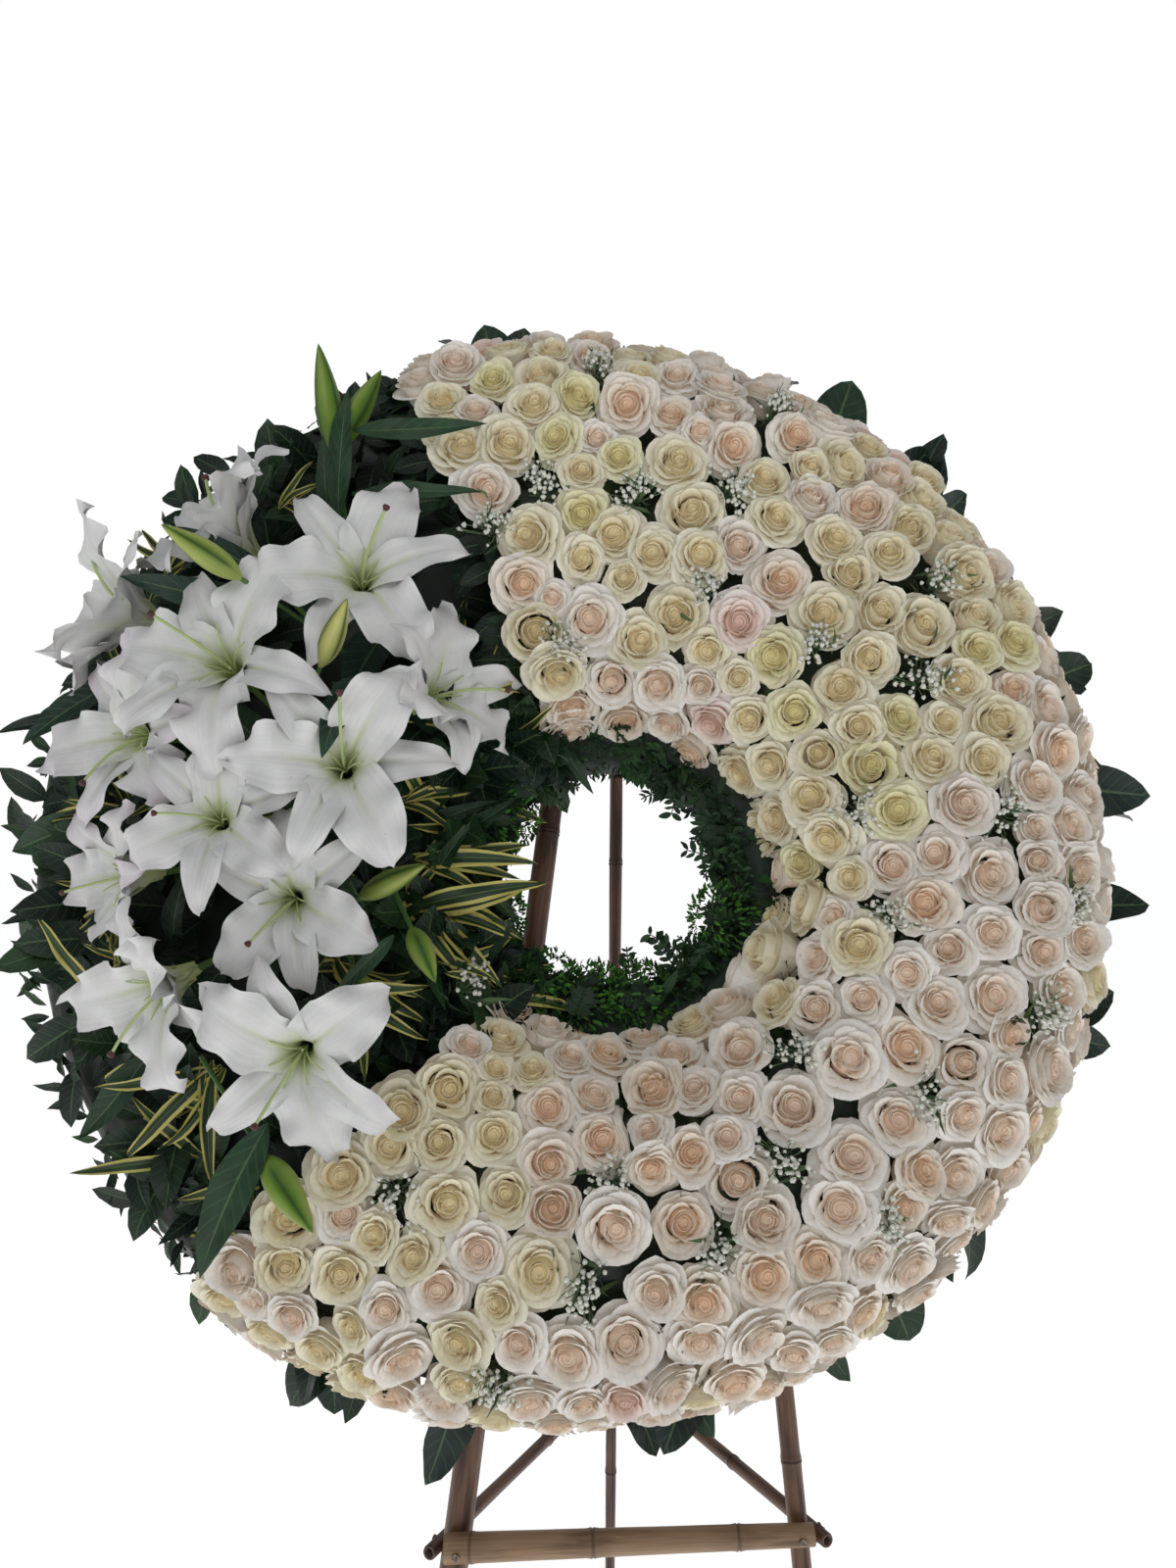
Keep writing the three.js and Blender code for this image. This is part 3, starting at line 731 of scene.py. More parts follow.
@dataclass(frozen=True)
class Rose:
    """One garden rose's shape, facing n, with its widest petals near height 0.

    Its base and its cushion are given as a radius and a height, and the rows of its heart as a
    height, a flare and a share of a petal's length. Its foot is the angle off the axis that petals
    set out at.
    """

    columns: tuple[int, ...] = (9, 9, 8, 8, 8, 8)
    rings: tuple[PetalRing, ...] = (
        PetalRing(5, 1.00, -0.16, 0.22, 2.25, 0.60, 0.98, (0.0, 0.34, 0.60, 0.76, 0.88, 0.95, 1.0)),
        PetalRing(5, 0.89, 0.04, 0.12, 2.00, 0.68, 0.92, (0.36, 0.70, 0.87, 0.95, 1.0)),
        PetalRing(4, 0.75, 0.17, 0.04, 1.80, 0.76, 1.08, (0.55, 0.82, 0.94, 1.0)),
        PetalRing(4, 0.61, 0.25, -0.02, 1.50, 0.80, 1.02, (0.62, 0.85, 0.95, 1.0)),
        PetalRing(3, 0.48, 0.29, -0.06, 1.20, 0.83, 1.30, (0.55, 0.78, 0.90, 1.0)),
        PetalRing(3, 0.35, 0.31, -0.10, 0.90, 0.86, 1.25, (0.60, 0.82, 0.92, 1.0)),
    )
    base: Pair = (0.10, -1.05)
    foot: float = 1.45
    heart: float = 0.28
    heart_turns: float = 2.5
    heart_steps: int = 28
    heart_rows: tuple[tuple[float, float, float], ...] = (
        (0.05, 0.0, 0.5), (0.18, 0.0, 0.80), (0.28, 0.008, 0.93), (0.31, 0.03, 1.0),
    )
    cushion: Pairs = (
        (0.0, 0.225), (0.14, 0.20), (0.27, 0.14), (0.42, 0.02),
    )

    def _profile(self, ring: PetalRing, opening: float, share: Array) -> tuple[Array, Array]:
        """A petal's radius and height at shares of its length, for a rose so far open."""
        shut = 1.0 - opening
        run = np.linspace(0, 1, 61)
        lean = ring.lean - 0.20 * shut
        roll = lean + (ring.roll - lean) * (1.0 - 0.75 * shut**1.5)
        foot = (self.foot - lean) * (1 - smooth(0.0, 0.42, run))
        angle = lean + foot + (roll - lean) * smooth(ring.roll_from, 1.0, run)
        radius = np.concatenate([[0], np.cumsum(np.sin((angle[1:] + angle[:-1]) / 2))])
        height = np.concatenate([[0], np.cumsum(np.cos((angle[1:] + angle[:-1]) / 2))])
        reach = ring.reach * (1.0 - 0.05 * shut)
        top = ring.top + 0.34 * shut * ring.reach
        radius = self.base[0] + radius / radius.max() * (reach - self.base[0])
        height = self.base[1] + height / height.max() * (top - self.base[1])
        return np.interp(share, run, radius), np.interp(share, run, height)

    def _tint(self, tone: RoseTone, depth: Array, share: Array) -> Array:
        """Colours from how deep in the rose a petal is (0 to 1) and the share of its length, with painted
        shade and a painted highlight.
        """
        petal = blend(tone.outer, tone.inner, smooth(0.0, 0.6, depth))
        petal = blend(petal, tone.heart, smooth(0.45, 1.0, depth))
        # Painted shade: each petal darkens to the fold colour towards its base, where the next ring in
        # covers it, most of all deep in the rose.
        fold = (1 - smooth(0.60, 0.84, share)) * (0.06 + 0.74 * smooth(0.0, 0.5, depth))
        # Painted highlight on the rolled rims of inner petals, which go back towards the pale outer
        # colour; partly the petals' own paler edges too.
        rim = smooth(0.90, 1.0, share) * 0.45 * smooth(0.2, 0.8, depth)
        return blend(blend(petal, tone.fold, fold), tone.outer, rim)

    def grids(
        self, tone: RoseTone, opening: float, messy: float, random: Random
    ) -> list[tuple[Array, Array]]:
        """Makes the petals of one rose.

        Args:
            tone: its colours.
            opening: 0 for a tight rose and 1 for a full-blown one.
            messy: how far its inner petals stray, 0 for a neat spiral and 1 for a crumpled heart.
            random: where its chances come from.

        Returns:
            Batches of petals: points of shape (petals, rows, columns, 3) and their tints.
        """
        batches = []
        hand = random.choice([-1.0, 1.0])
        phase = random.uniform(0, TURN)
        off_centre = random.normal(0, 0.035 + 0.03 * messy, 2)
        for number, ring in enumerate(self.rings):
            t = np.linspace(-1, 1, self.columns[number])[None, None, :]
            depth = number / (len(self.rings) - 1)
            count = (ring.petals, 1, 1)
            edge = 0.10 - 0.02 * depth
            share = np.array(ring.rows)[None, :, None] * (1 - edge * np.abs(t) ** 2.6)
            open_here = float(np.clip(opening + random.normal(0, 0.08), 0, 1))
            radius, height = self._profile(ring, open_here, share)
            near_rim = smooth(0.5, 1.0, share)
            size = random.normal(1.0, 0.035 + 0.06 * messy * depth, count)
            wave = random.uniform(0.4, 1.0, count) * (0.018 + 0.05 * messy) * (1 - 0.4 * depth)
            waves = random.uniform(1.5, 3.5, count)
            ripple = wave * np.sin(waves * t + random.uniform(0, 6.28, count))
            slope = hand * t * (0.075 - 0.02 * depth) * near_rim
            point = 0.025 * (1 - np.abs(t)) ** 2 * near_rim
            flat = 0.05 * t**2 * near_rim * (1 + depth)
            radius = radius * size * (1 + slope - flat) + ripple * near_rim + point
            height = height + random.normal(0, 0.03, count) + near_rim * ripple * 0.7
            width = ring.half * (0.46 + 0.54 * smooth(0.0, 0.55, share))
            turns = np.arange(ring.petals)[:, None, None] + random.normal(0, 0.10, count)
            points = polar(phase + TURN * turns / ring.petals + width * t, radius, height)
            drift = random.normal(0, 0.015 + 0.09 * messy * depth, (ring.petals, 1, 1, 2))
            drift = drift + off_centre * depth
            points[..., :2] += drift * near_rim[..., None]
            shape = points.shape[:3]
            tint = self._tint(tone, np.full(shape, depth), np.broadcast_to(share, shape))
            batches.append((points, tint * random.normal(1.0, 0.02, (ring.petals, 1, 1, 1))))
            phase += TURN / ring.petals * random.uniform(0.4, 0.6)
        batches.append(self._heart(tone, messy, hand, off_centre, random))
        batches.append(self._cushion(tone, off_centre))
        return batches

    def _cushion(self, tone: RoseTone, off_centre: Array) -> tuple[Array, Array]:
        """The folded petals deep under the heart, as one low cushion."""
        turn = np.linspace(0, TURN, 9)[None, :]
        radius, height = np.array(self.cushion).T[..., None]
        points = polar(turn, radius, height)
        points[:, -1] = points[:, 0]
        points[..., :2] += off_centre
        # Its tint is partly the fold colour: painted shade deep under the heart.
        return points[None], blend(tone.heart, tone.fold, np.full(points.shape[:2], 0.35))[None]

    def _heart(
        self, tone: RoseTone, messy: float, hand: float, off_centre: Array, random: Random
    ) -> tuple[Array, Array]:
        """The spiral that the innermost petals make."""
        run = np.linspace(0, 1, self.heart_steps)[None, :]
        rows, lips, share = np.array(self.heart_rows).T[..., None]
        turn = hand * TURN * self.heart_turns * run + random.uniform(0, 6.28)
        crumple = 1 + (0.05 + 0.20 * messy) * np.sin(turn * 1.37 + random.uniform(0, 6.28))
        radius = (self.heart * (1 - run) ** 0.9 + 0.02) * crumple + lips
        height = rows + 0.03 * np.sin(turn * 0.61 + 1.0) - 0.06 * run * messy
        points = polar(turn, radius, height)
        points[..., 0] *= random.uniform(0.8, 1.0)
        points[..., :2] += off_centre + random.normal(0, 0.02, 2)
        depth = np.full(points.shape[:2], 1.0)
        # The rows' shares paint shade on the deep rows of the spiral and a highlight on its top, as in
        # _tint.
        share = np.broadcast_to(share, points.shape[:2])
        return points[None], self._tint(tone, depth, share)[None]


# --- Leaves ---


@dataclass(frozen=True)
class Leaf:
    """A kind of leaf, as long as 1 and lying along its direction, with its face up."""

    width: float
    widest: float = 0.45
    blunt: float = 0.8
    fold: float = 0.22
    droop: float = 0.5
    wave: float = 0.02
    curl: float = 0.0
    rows: int = 7
    columns: int = 5

    def grids(self, roots: Array, ways: Array, faces: Array, lengths: Array, random: Random) -> Array:
        """Makes many leaves of this kind.

        Args:
            roots: where the leaves begin, shape (k, 3).
            ways: the directions they set out in, shape (k, 3).
            faces: roughly which way their upper sides face, shape (k, 3).
            lengths: their lengths, shape (k,).
            random: where their small differences come from.

        Returns:
            Points of shape (k, rows, columns, 3).
        """
        count = len(roots)
        ways = unit(ways)
        ups = square_to(faces, ways)
        sides = np.cross(ways, ups)
        s = np.linspace(0, 1, self.rows)
        droop = self.droop * random.normal(1.0, 0.35, count)
        bend = droop[:, None] * s
        sway = (self.curl + random.normal(0, 0.25, count))[:, None] * s
        run = np.cos(bend)[..., None] * ways[:, None] - np.sin(bend)[..., None] * ups[:, None]
        run = unit(run + np.sin(sway)[..., None] * sides[:, None])
        tipped = np.broadcast_to(ups[:, None], run.shape) + np.sin(bend)[..., None] * ways[:, None]
        normal = square_to(tipped, run)
        across = np.cross(run, normal)
        middle = np.cumsum(run, axis=1) - run[:, :1]
        middle = roots[:, None] + middle * (lengths[:, None] / (self.rows - 1))[..., None]
        power = math.log(0.5) / math.log(self.widest)
        half = 0.5 * self.width * np.clip(np.sin(math.pi * s**power), 0, 1) ** self.blunt
        half = np.maximum(half, np.where(s < 0.5, 0.012, 0.0))[None, :] * lengths[:, None]
        t = np.linspace(-1, 1, self.columns)
        waves = random.uniform(9, 16, count)[:, None]
        ripple = np.sin(s[None] * waves + random.uniform(0, 6.28, count)[:, None])
        ripple = self.wave * lengths[:, None] * ripple
        lift = self.fold * half[..., None] * np.abs(t) + ripple[..., None] * t**2
        offset = across[:, :, None] * (half[..., None] * t)[..., None]
        return middle[:, :, None] + offset + normal[:, :, None] * lift[..., None]

    def plant(
        self, mesh: Patches, roots: Array, ways: Array, faces: Array, lengths: Array,
        greens: Colours, random: Random, finish: int = 0,
    ) -> None:
        """Adds many leaves of this kind to a mesh, each in a green of its own.

        Args:
            mesh: what they are added to.
            roots, ways, faces, lengths, random: as for grids.
            greens: the colours to choose from.
            finish: which of the mesh's materials they wear.
        """
        grids = self.grids(roots, ways, faces, lengths, random)
        mesh.add(grids, leaf_tints(greens, len(roots), random), finish)


class Foliage(Enum):
    """The kinds of leaf in the wreath."""

    LAUREL = Leaf(width=0.46, blunt=0.72, droop=0.5)
    CAMELLIA = Leaf(width=0.52, blunt=0.66, fold=0.28, droop=0.45, rows=12)
    RUSCUS = Leaf(width=0.34, widest=0.4, blunt=1.0, droop=0.35)
    LILY = Leaf(width=0.16, widest=0.42, blunt=0.8, fold=0.35, droop=0.9, rows=12, columns=7)
    ROUND = Leaf(width=0.72, widest=0.5, blunt=0.58, droop=0.25, fold=0.14, rows=13)
    STRAP = Leaf(width=0.13, widest=0.4, blunt=0.75, fold=0.30, droop=1.1, rows=12, columns=7)
    PINNA = Leaf(width=0.40, widest=0.4, blunt=0.8, droop=0.5, rows=4, columns=3)
    MOSS = Leaf(width=0.36, widest=0.5, blunt=0.7, droop=1.3, fold=0.5, rows=4, columns=3)
    BLADE = Leaf(width=0.13, widest=0.3, blunt=0.9, droop=0.4, rows=4, columns=3)


def leaf_tints(greens: Colours, count: int, random: Random) -> Array:
    """Picks a green for each leaf and makes it a little lighter or darker."""
    chosen = np.array(greens)[random.integers(0, len(greens), count)]
    return (chosen * random.uniform(0.75, 1.25, (count, 1)))[:, None, None, :]


# --- The rose banks ---


@dataclass(frozen=True)
class Patch:
    """A round part of the wreath's face where a tone is common."""

    u: float
    v: float
    reach: float
    share: float

    def chance(self, points: Array) -> Array:
        """How likely the tone is at each point."""
        off = np.hypot(points[:, 0] - self.u, points[:, 1] - self.v)
        return self.share * (1 - smooth(0.55 * self.reach, self.reach, off))


@dataclass
class RoseField:
    """Where every rose stands: points on the dome that keep clear of each other.

    A rose's radius fills the room between its neighbours, but stays between least and most.
    """

    slope: Slope
    pitch: float = 0.0545
    unequal: float = 0.17
    samples: int = 15000
    rounds: int = 10
    seed: int = 11
    inner_turn: float = 0.27
    outer_turn: float = math.pi - 0.16
    sprig_size: float = 0.62
    fill: float = 1.21
    least: float = 0.018
    most: float = 0.038

    def __post_init__(self) -> None:
        """Spreads the roses over the dome."""
        random = np.random.default_rng(self.seed)
        angle, turn = self._scatter(random)
        points, normals = self.slope.over(DOME, angle, turn)
        count = int(round(self.area / (0.866 * self.pitch**2)))
        self.sizes = np.clip(random.normal(1.0, self.unequal, count), 0.7, 1.4)
        sprigs = self.slope.over(DOME, *DOME.turns(SPRIGS))[0]
        sizes = np.concatenate([self.sizes, np.full(len(sprigs), self.sprig_size)])
        chosen = self._spread(points, sprigs, count)
        for _ in range(self.rounds):
            sites = np.concatenate([points[chosen], sprigs])
            far = np.linalg.norm(points[:, None] - sites[None], axis=-1) / sizes
            owner = far.argmin(1)
            for rose in range(count):
                own = np.flatnonzero(owner == rose)
                if len(own):
                    middle = points[own].mean(0)
                    chosen[rose] = own[np.linalg.norm(points[own] - middle, axis=-1).argmin()]
        self.points, self.normals = points[chosen], normals[chosen]
        self.angles = np.degrees(angle[chosen])
        self.turns = turn[chosen]
        self._measure()

    @staticmethod
    def _spread(points: Array, taken: Array, count: int) -> Array:
        """Chooses points one by one, each as far as it can be from those before it."""
        clear = np.linalg.norm(points[:, None] - taken[None], axis=-1).min(1)
        chosen = np.zeros(count, dtype=int)
        for number in range(count):
            chosen[number] = clear.argmax()
            clear = np.minimum(clear, np.linalg.norm(points - points[chosen[number]], axis=-1))
        return chosen

    def _scatter(self, random: Random) -> tuple[Array, Array]:
        """Random places, as dense everywhere as the dome's surface is wide."""
        tries = self.samples * 3
        low, high = math.radians(FLOWER_START), math.radians(FLOWER_END)
        angle = random.uniform(low, high, tries)
        turn = random.uniform(self.inner_turn, self.outer_turn, tries)
        here = self.slope.over(DOME, angle, turn)[0]
        one = self.slope.over(DOME, angle + NUDGE, turn)[0] - here
        two = self.slope.over(DOME, angle, turn + NUDGE)[0] - here
        patch = np.linalg.norm(np.cross(one, two), axis=-1) / NUDGE**2
        self.area = patch.mean() * (high - low) * (self.outer_turn - self.inner_turn)
        keep = random.choice(tries, self.samples, replace=False, p=patch / patch.sum())
        return angle[keep], turn[keep]

    def _measure(self) -> None:
        """Finds each rose's neighbours, and the radius that lets it press against them."""
        gaps = np.linalg.norm(self.points[:, None] - self.points[None], axis=-1)
        np.fill_diagonal(gaps, np.inf)
        self.near = np.argsort(gaps, axis=1)[:, :8]
        gap = np.take_along_axis(gaps, self.near, 1)
        share = self.sizes[:, None] / (self.sizes[:, None] + self.sizes[self.near])
        self.borders = gap * share
        self.radii = np.clip(self.borders[:, :5].mean(1) * self.fill, self.least, self.most)


@dataclass
class RoseBanks:
    """The twelve banks of roses, with the leaves that line the gaps between them."""

    slope: Slope
    roses: RoseField
    places: tuple[str, ...] = ("lower_left", "bottom", "lower_right", "right", "upper_right", "top")
    seed: int = 23
    sunk: float = 0.38
    tilt: float = 0.17
    overlap: float = 1.12
    squeeze: Pair = (0.90, 1.05)
    shell_depth: float = 0.036
    shell: Colour = paint(0x1A2A1C)
    opening: float = 0.50
    opening_spread: float = 0.20
    shut_at_rim: float = 0.42
    sunk_at_rim: float = 0.30
    rise_spread: float = 0.10
    messy: float = 0.25
    messy_spread: float = 0.30
    leaves: int = 56
    leaf_depth: float = 0.040
    leaf_lengths: Pair = (0.028, 0.042)
    greens: Colours = (paint(0x22371F), paint(0x2C4427))
    cream: tuple[Patch, ...] = (
        Patch(-0.06, 0.42, 0.26, 0.55),
        Patch(0.26, 0.28, 0.24, 0.65),
        Patch(0.16, 0.04, 0.15, 0.80),
        Patch(-0.27, -0.28, 0.23, 0.75),
    )
    lime: tuple[Patch, ...] = (
        Patch(0.28, 0.18, 0.17, 0.32),
        Patch(-0.08, 0.45, 0.16, 0.28),
        Patch(0.17, 0.10, 0.12, 0.25),
    )
    pink: tuple[Patch, ...] = (Patch(0.08, 0.25, 0.12, 0.30), Patch(0.28, 0.50, 0.12, 0.2))
    budding: Patch = Patch(0.30, 0.33, 0.20, 0.30)

    def _tones(self, random: Random) -> list[RoseTone]:
        """Chooses each rose's colours from where it stands."""
        points = self.roses.points
        draw = random.random((4, len(points)))
        chance = {
            Tone.LIME: np.max([patch.chance(points) for patch in self.lime], axis=0),
            Tone.CREAM: np.max([patch.chance(points) for patch in self.cream], axis=0) + 0.10,
            Tone.PINK: np.max([patch.chance(points) for patch in self.pink], axis=0) + 0.03,
            Tone.PEACH: np.full(len(points), 0.25),
        }
        tones = [Tone.BLUSH] * len(points)
        for row, (tone, likely) in enumerate(reversed(chance.items())):
            tones = [tone if hit else old for hit, old in zip(draw[row] < likely, tones)]
        return [tone.value for tone in tones]

    def _fit(self, points: Array, rose: int, matrix: Array) -> Array:
        """Presses a rose's outer petals into the space that its neighbours leave."""
        roses = self.roses
        flat = (roses.points[roses.near[rose]] - roses.points[rose]) @ matrix[:, :2]
        away = np.arctan2(flat[:, 1], flat[:, 0])
        angle = np.arctan2(points[..., 1], points[..., 0])
        radius = np.hypot(points[..., 0], points[..., 1])
        facing = np.cos(angle[..., None] - away)
        room = roses.borders[rose] * self.overlap / np.maximum(facing, 0.25)
        fit = np.clip(room.min(-1) / roses.radii[rose], *self.squeeze)
        share = smooth(0.25, 1.0, radius) * smooth(-0.8, -0.2, points[..., 2])
        return points * np.stack([1 + (fit - 1) * share] * 2 + [np.ones_like(fit)], -1)

    def _lining(self, mesh: Patches, angles: Pair, turns: Pair, random: Random) -> None:
        """Adds a dark shell under the roses and small leaves that stand on it.

        Args:
            mesh: the bank that they are added to.
            angles: where the bank starts and ends round the hole, in degrees.
            turns: where it starts and ends over the dome, in radians.
            random: where the leaves' places come from.
        """
        low, high = np.radians(angles)
        turn, angle = np.meshgrid(np.linspace(*turns, 9), np.linspace(low, high, 12), indexing="ij")
        points, normals = self.slope.over(DOME, angle, turn)
        mesh.add(points - normals * self.shell_depth, self.shell, 1)
        angle = random.uniform(low, high, self.leaves)
        turn = random.uniform(*turns, self.leaves)
        if turns[0] < 1.0:
            turn[::2] = random.uniform(turns[0] - 0.1, turns[0] + 0.35, len(turn[::2]))
        points, normals = self.slope.over(DOME, angle, turn)
        ways = unit(normals + random.normal(0, 0.5, normals.shape))
        roots = points - normals * self.leaf_depth
        faces = random.normal(0, 1, ways.shape)
        lengths = random.uniform(*self.leaf_lengths, len(roots))
        Foliage.RUSCUS.value.plant(mesh, roots, ways, faces, lengths, self.greens, random, 1)

    def _rose(
        self, mesh: Patches, rose: int, tone: RoseTone, matrix: Array, rim: float, random: Random
    ) -> None:
        """Adds one rose.

        Args:
            mesh: the bank that it is added to.
            rose: its number in the field.
            tone: its colours.
            matrix: its frame, with its axis as the third column.
            rim: 0 up on the dome and 1 at the rim, where roses are shut and sit lower.
            random: where its shape comes from.
        """
        roses = self.roses
        young = float(self.budding.chance(roses.points[rose][None])[0])
        opening = self.opening - self.shut_at_rim * rim - young
        opening = float(np.clip(random.normal(opening, self.opening_spread), 0.0, 0.95))
        messy = float(np.clip(random.normal(self.messy, self.messy_spread), 0.0, 1.0))
        radius, axis = roses.radii[rose], matrix[:, 2]
        lift = random.normal(0, self.rise_spread) - self.sunk_at_rim * rim - self.sunk
        origin = roses.points[rose] + axis * lift * radius
        for points, tint in Rose().grids(tone, opening, messy, random):
            points = self._fit(points, rose, matrix)
            mesh.add((points * radius) @ matrix.T + origin, tint)

    def build(self, petal: Material, leaf: Material) -> None:
        """Builds the banks, one piece for each bank of the frame."""
        random = np.random.default_rng(self.seed)
        roses = self.roses
        tones = self._tones(random)
        axes = unit(roses.normals + random.normal(0, self.tilt, roses.normals.shape))
        matrices = frames_on(axes, random.uniform(0, TURN, len(axes)))
        span = (FLOWER_END - FLOWER_START) / len(self.places)
        sector = ((roses.angles - FLOWER_START) // span).astype(int)
        sector = sector.clip(0, len(self.places) - 1)
        outer = roses.turns > math.pi / 2
        for number, place in enumerate(self.places):
            for part in ("outer", "inner"):
                mesh = Patches(f"roses_{place}_{part}", seed=number, floor=FLOOR)
                members = np.flatnonzero((sector == number) & (outer == (part == "outer")))
                for rose in members:
                    rim = float(smooth(2.1, 2.8, roses.turns[rose]))
                    rim = rim * (0.35 + 0.65 * (part == "outer" and number > 2))
                    self._rose(mesh, rose, tones[rose], matrices[rose], rim, random)
                angles = (FLOWER_START + number * span, FLOWER_START + (number + 1) * span)
                turns = (math.pi / 2, math.pi - 0.02) if part == "outer" else (0.2, math.pi / 2)
                self._lining(mesh, angles, turns, random)
                bank = mesh.build(self.slope, petal, leaf)
                dress(bank, "rose_petal", f"rose_bank_{place}_{part}")


# --- Lilies and their buds ---


@dataclass(frozen=True)
class Tepal:
    """One of a lily's two kinds of petal; lengths are in radii of the open flower."""

    half_width: float
    widest: float
    ruffle: float
    waves: float
    recurve: float


@dataclass(frozen=True)
class Lily:
    """An open white lily: three broad and three narrow tepals, filaments and a long pistil.

    It stands at u, v and n, and leans off n by its tilt, towards an angle round the wreath. Its
    pistil bends towards an angle of its own.
    """

    name: str
    u: float
    v: float
    n: float
    radius: float
    toward: float
    tilt: float
    turn: float
    pistil: float = 0.0
    blush: float = 0.12
    depth: float = 0.26
    spread: float = 1.10
    openness: float = 1.0
    root_height: float = 0.108
    stem_range: Pair = (0.030, 0.120)
    rows: int = 25
    columns: int = 13
    broad: Tepal = Tepal(0.315, 0.56, 0.090, 3.6, 1.05)
    narrow: Tepal = Tepal(0.205, 0.52, 0.045, 2.6, 1.15)
    white: Colour = paint(0xE4E4E3)
    lilac: Colour = paint(0xD8C8D4)
    green: Colour = paint(0xC3CE74)
    pale_green: Colour = paint(0xB9C98A)
    stigma: Colour = paint(0x5A3030)
    stem_green: Colour = paint(0x5E7F3E)

    def _middle(self, recurve: float) -> tuple[Array, Array, Array]:
        """A tepal's middle line: its radius, its height and its angle off the axis."""
        s = np.linspace(0, 1, self.rows)
        bend = 0.98 * smooth(0.10, 0.50, s) + 0.42 * smooth(0.45, 0.8, s)
        lean = 0.20 + self.openness * bend
        lean = lean + recurve * 0.85 * smooth(0.70, 1.0, s)
        radius = np.concatenate([[0], np.cumsum(np.sin((lean[1:] + lean[:-1]) / 2))])
        height = np.concatenate([[0], np.cumsum(np.cos((lean[1:] + lean[:-1]) / 2))])
        size = 0.95 / radius.max() * (1.0 - 0.45 * (1.0 - self.openness))
        return 0.05 + radius * size, height * size, lean

    def _tepal(self, kind: Tepal, angle: float, random: Random) -> tuple[Array, Array]:
        """One tepal's points and tints, for a flower of radius one that faces n."""
        radius, height, lean = self._middle(kind.recurve * random.uniform(0.6, 1.5))
        longer, lifted = random.uniform(0.93, 1.06), random.normal(0, 0.10)
        radius, height = radius * longer, height + radius * lifted
        s = np.linspace(0, 1, self.rows)[:, None]
        t = np.linspace(-1, 1, self.columns)[None, :]
        power = math.log(0.5) / math.log(kind.widest)
        half = kind.half_width * np.clip(np.sin(math.pi * s**power), 0, 1) ** 0.72
        half = np.maximum(half, 0.045 * (1 - s))
        groove = -0.035 * np.exp(-((t / 0.13) ** 2)) * (1 - smooth(0.5, 0.95, s))
        bowl = 0.20 * half * t**2 * (1 - 1.6 * smooth(0.35, 0.9, s))
        waves = kind.waves * TURN
        edge = np.abs(t) ** 2.2 * smooth(0.2, 0.5, s)
        side = np.where(t < 0, *random.uniform(0, 6.28, 2))
        ruffle = kind.ruffle * random.uniform(0.7, 1.3) * np.sin(waves * s + side + 0.8 * t) * edge
        rise = groove + bowl + ruffle + 0.01 * np.sin(7 * s + side) * t
        twist = random.normal(0, 0.30) * s**2
        sway = random.normal(0, 0.08) * s**2
        x = radius[:, None] - np.cos(lean)[:, None] * rise
        z = height[:, None] + np.sin(lean)[:, None] * rise + twist * half * t
        y = half * t * np.cos(twist) + sway
        wrap = np.maximum(np.hypot(x, y), 1e-6)
        near = 1 - smooth(0.15, 0.4, s)
        x = x * (1 - near) + near * (2 * x - wrap)
        turn = math.radians(angle)
        cos, sin = math.cos(turn), math.sin(turn)
        points = np.stack([x * cos - y * sin, x * sin + y * cos, z], -1)
        blush = self.blush * random.uniform(0.4, 1.6) * smooth(0.45, 1.0, s)
        blush = blush * (0.4 + 0.6 * np.abs(t))
        tint = blend(self.white, self.lilac, np.clip(blush, 0, 1))
        rib = np.exp(-((t / 0.08) ** 2)) * (1 - smooth(0.25, 0.75, s)) * 0.55
        throat = (1 - smooth(0.10, 0.40, s)) * 0.75
        return points, blend(tint, self.green, np.clip(rib + throat * (1 - rib), 0, 1))

    def _organs(self, random: Random) -> list[tuple[Array, Array | Colour]]:
        """The filaments and the pistil, for a flower of radius one that faces n."""
        parts = []
        lean = math.radians(self.pistil)
        out = np.array([math.cos(lean), math.sin(lean), 0.0])
        for number in range(6):
            turn = math.radians(self.turn + 30 + 60 * number + random.normal(0, 9))
            away = np.array([math.cos(turn), math.sin(turn), 0.0])
            reach = random.uniform(0.18, 0.32)
            end = away * reach + out * 0.08 + [0, 0, random.uniform(0.40, 0.52)]
            path = curve(np.array([0, 0, 0.05]), away * 0.05 + [0, 0, 0.42], end, 9)
            parts.append((tube(path, np.linspace(0.012, 0.007, 9), 6), self.pale_green))
        tip = out * 0.50 + np.array([0.0, 0.0, 0.80])
        path = curve(np.array([0, 0, 0.05]), np.array([0, 0, 0.55]), tip, 14)
        parts.append((tube(path, 0.015, 8), self.pale_green))
        heading = unit(path[-1] - path[-2])
        knob = np.array([0.014, 0.026, 0.035, 0.030, 0.0])
        steps = np.array([-0.01, 0.005, 0.025, 0.045, 0.052])
        parts.append((tube(path[-1] + heading * steps[:, None], knob, 9), self.stigma))
        return parts

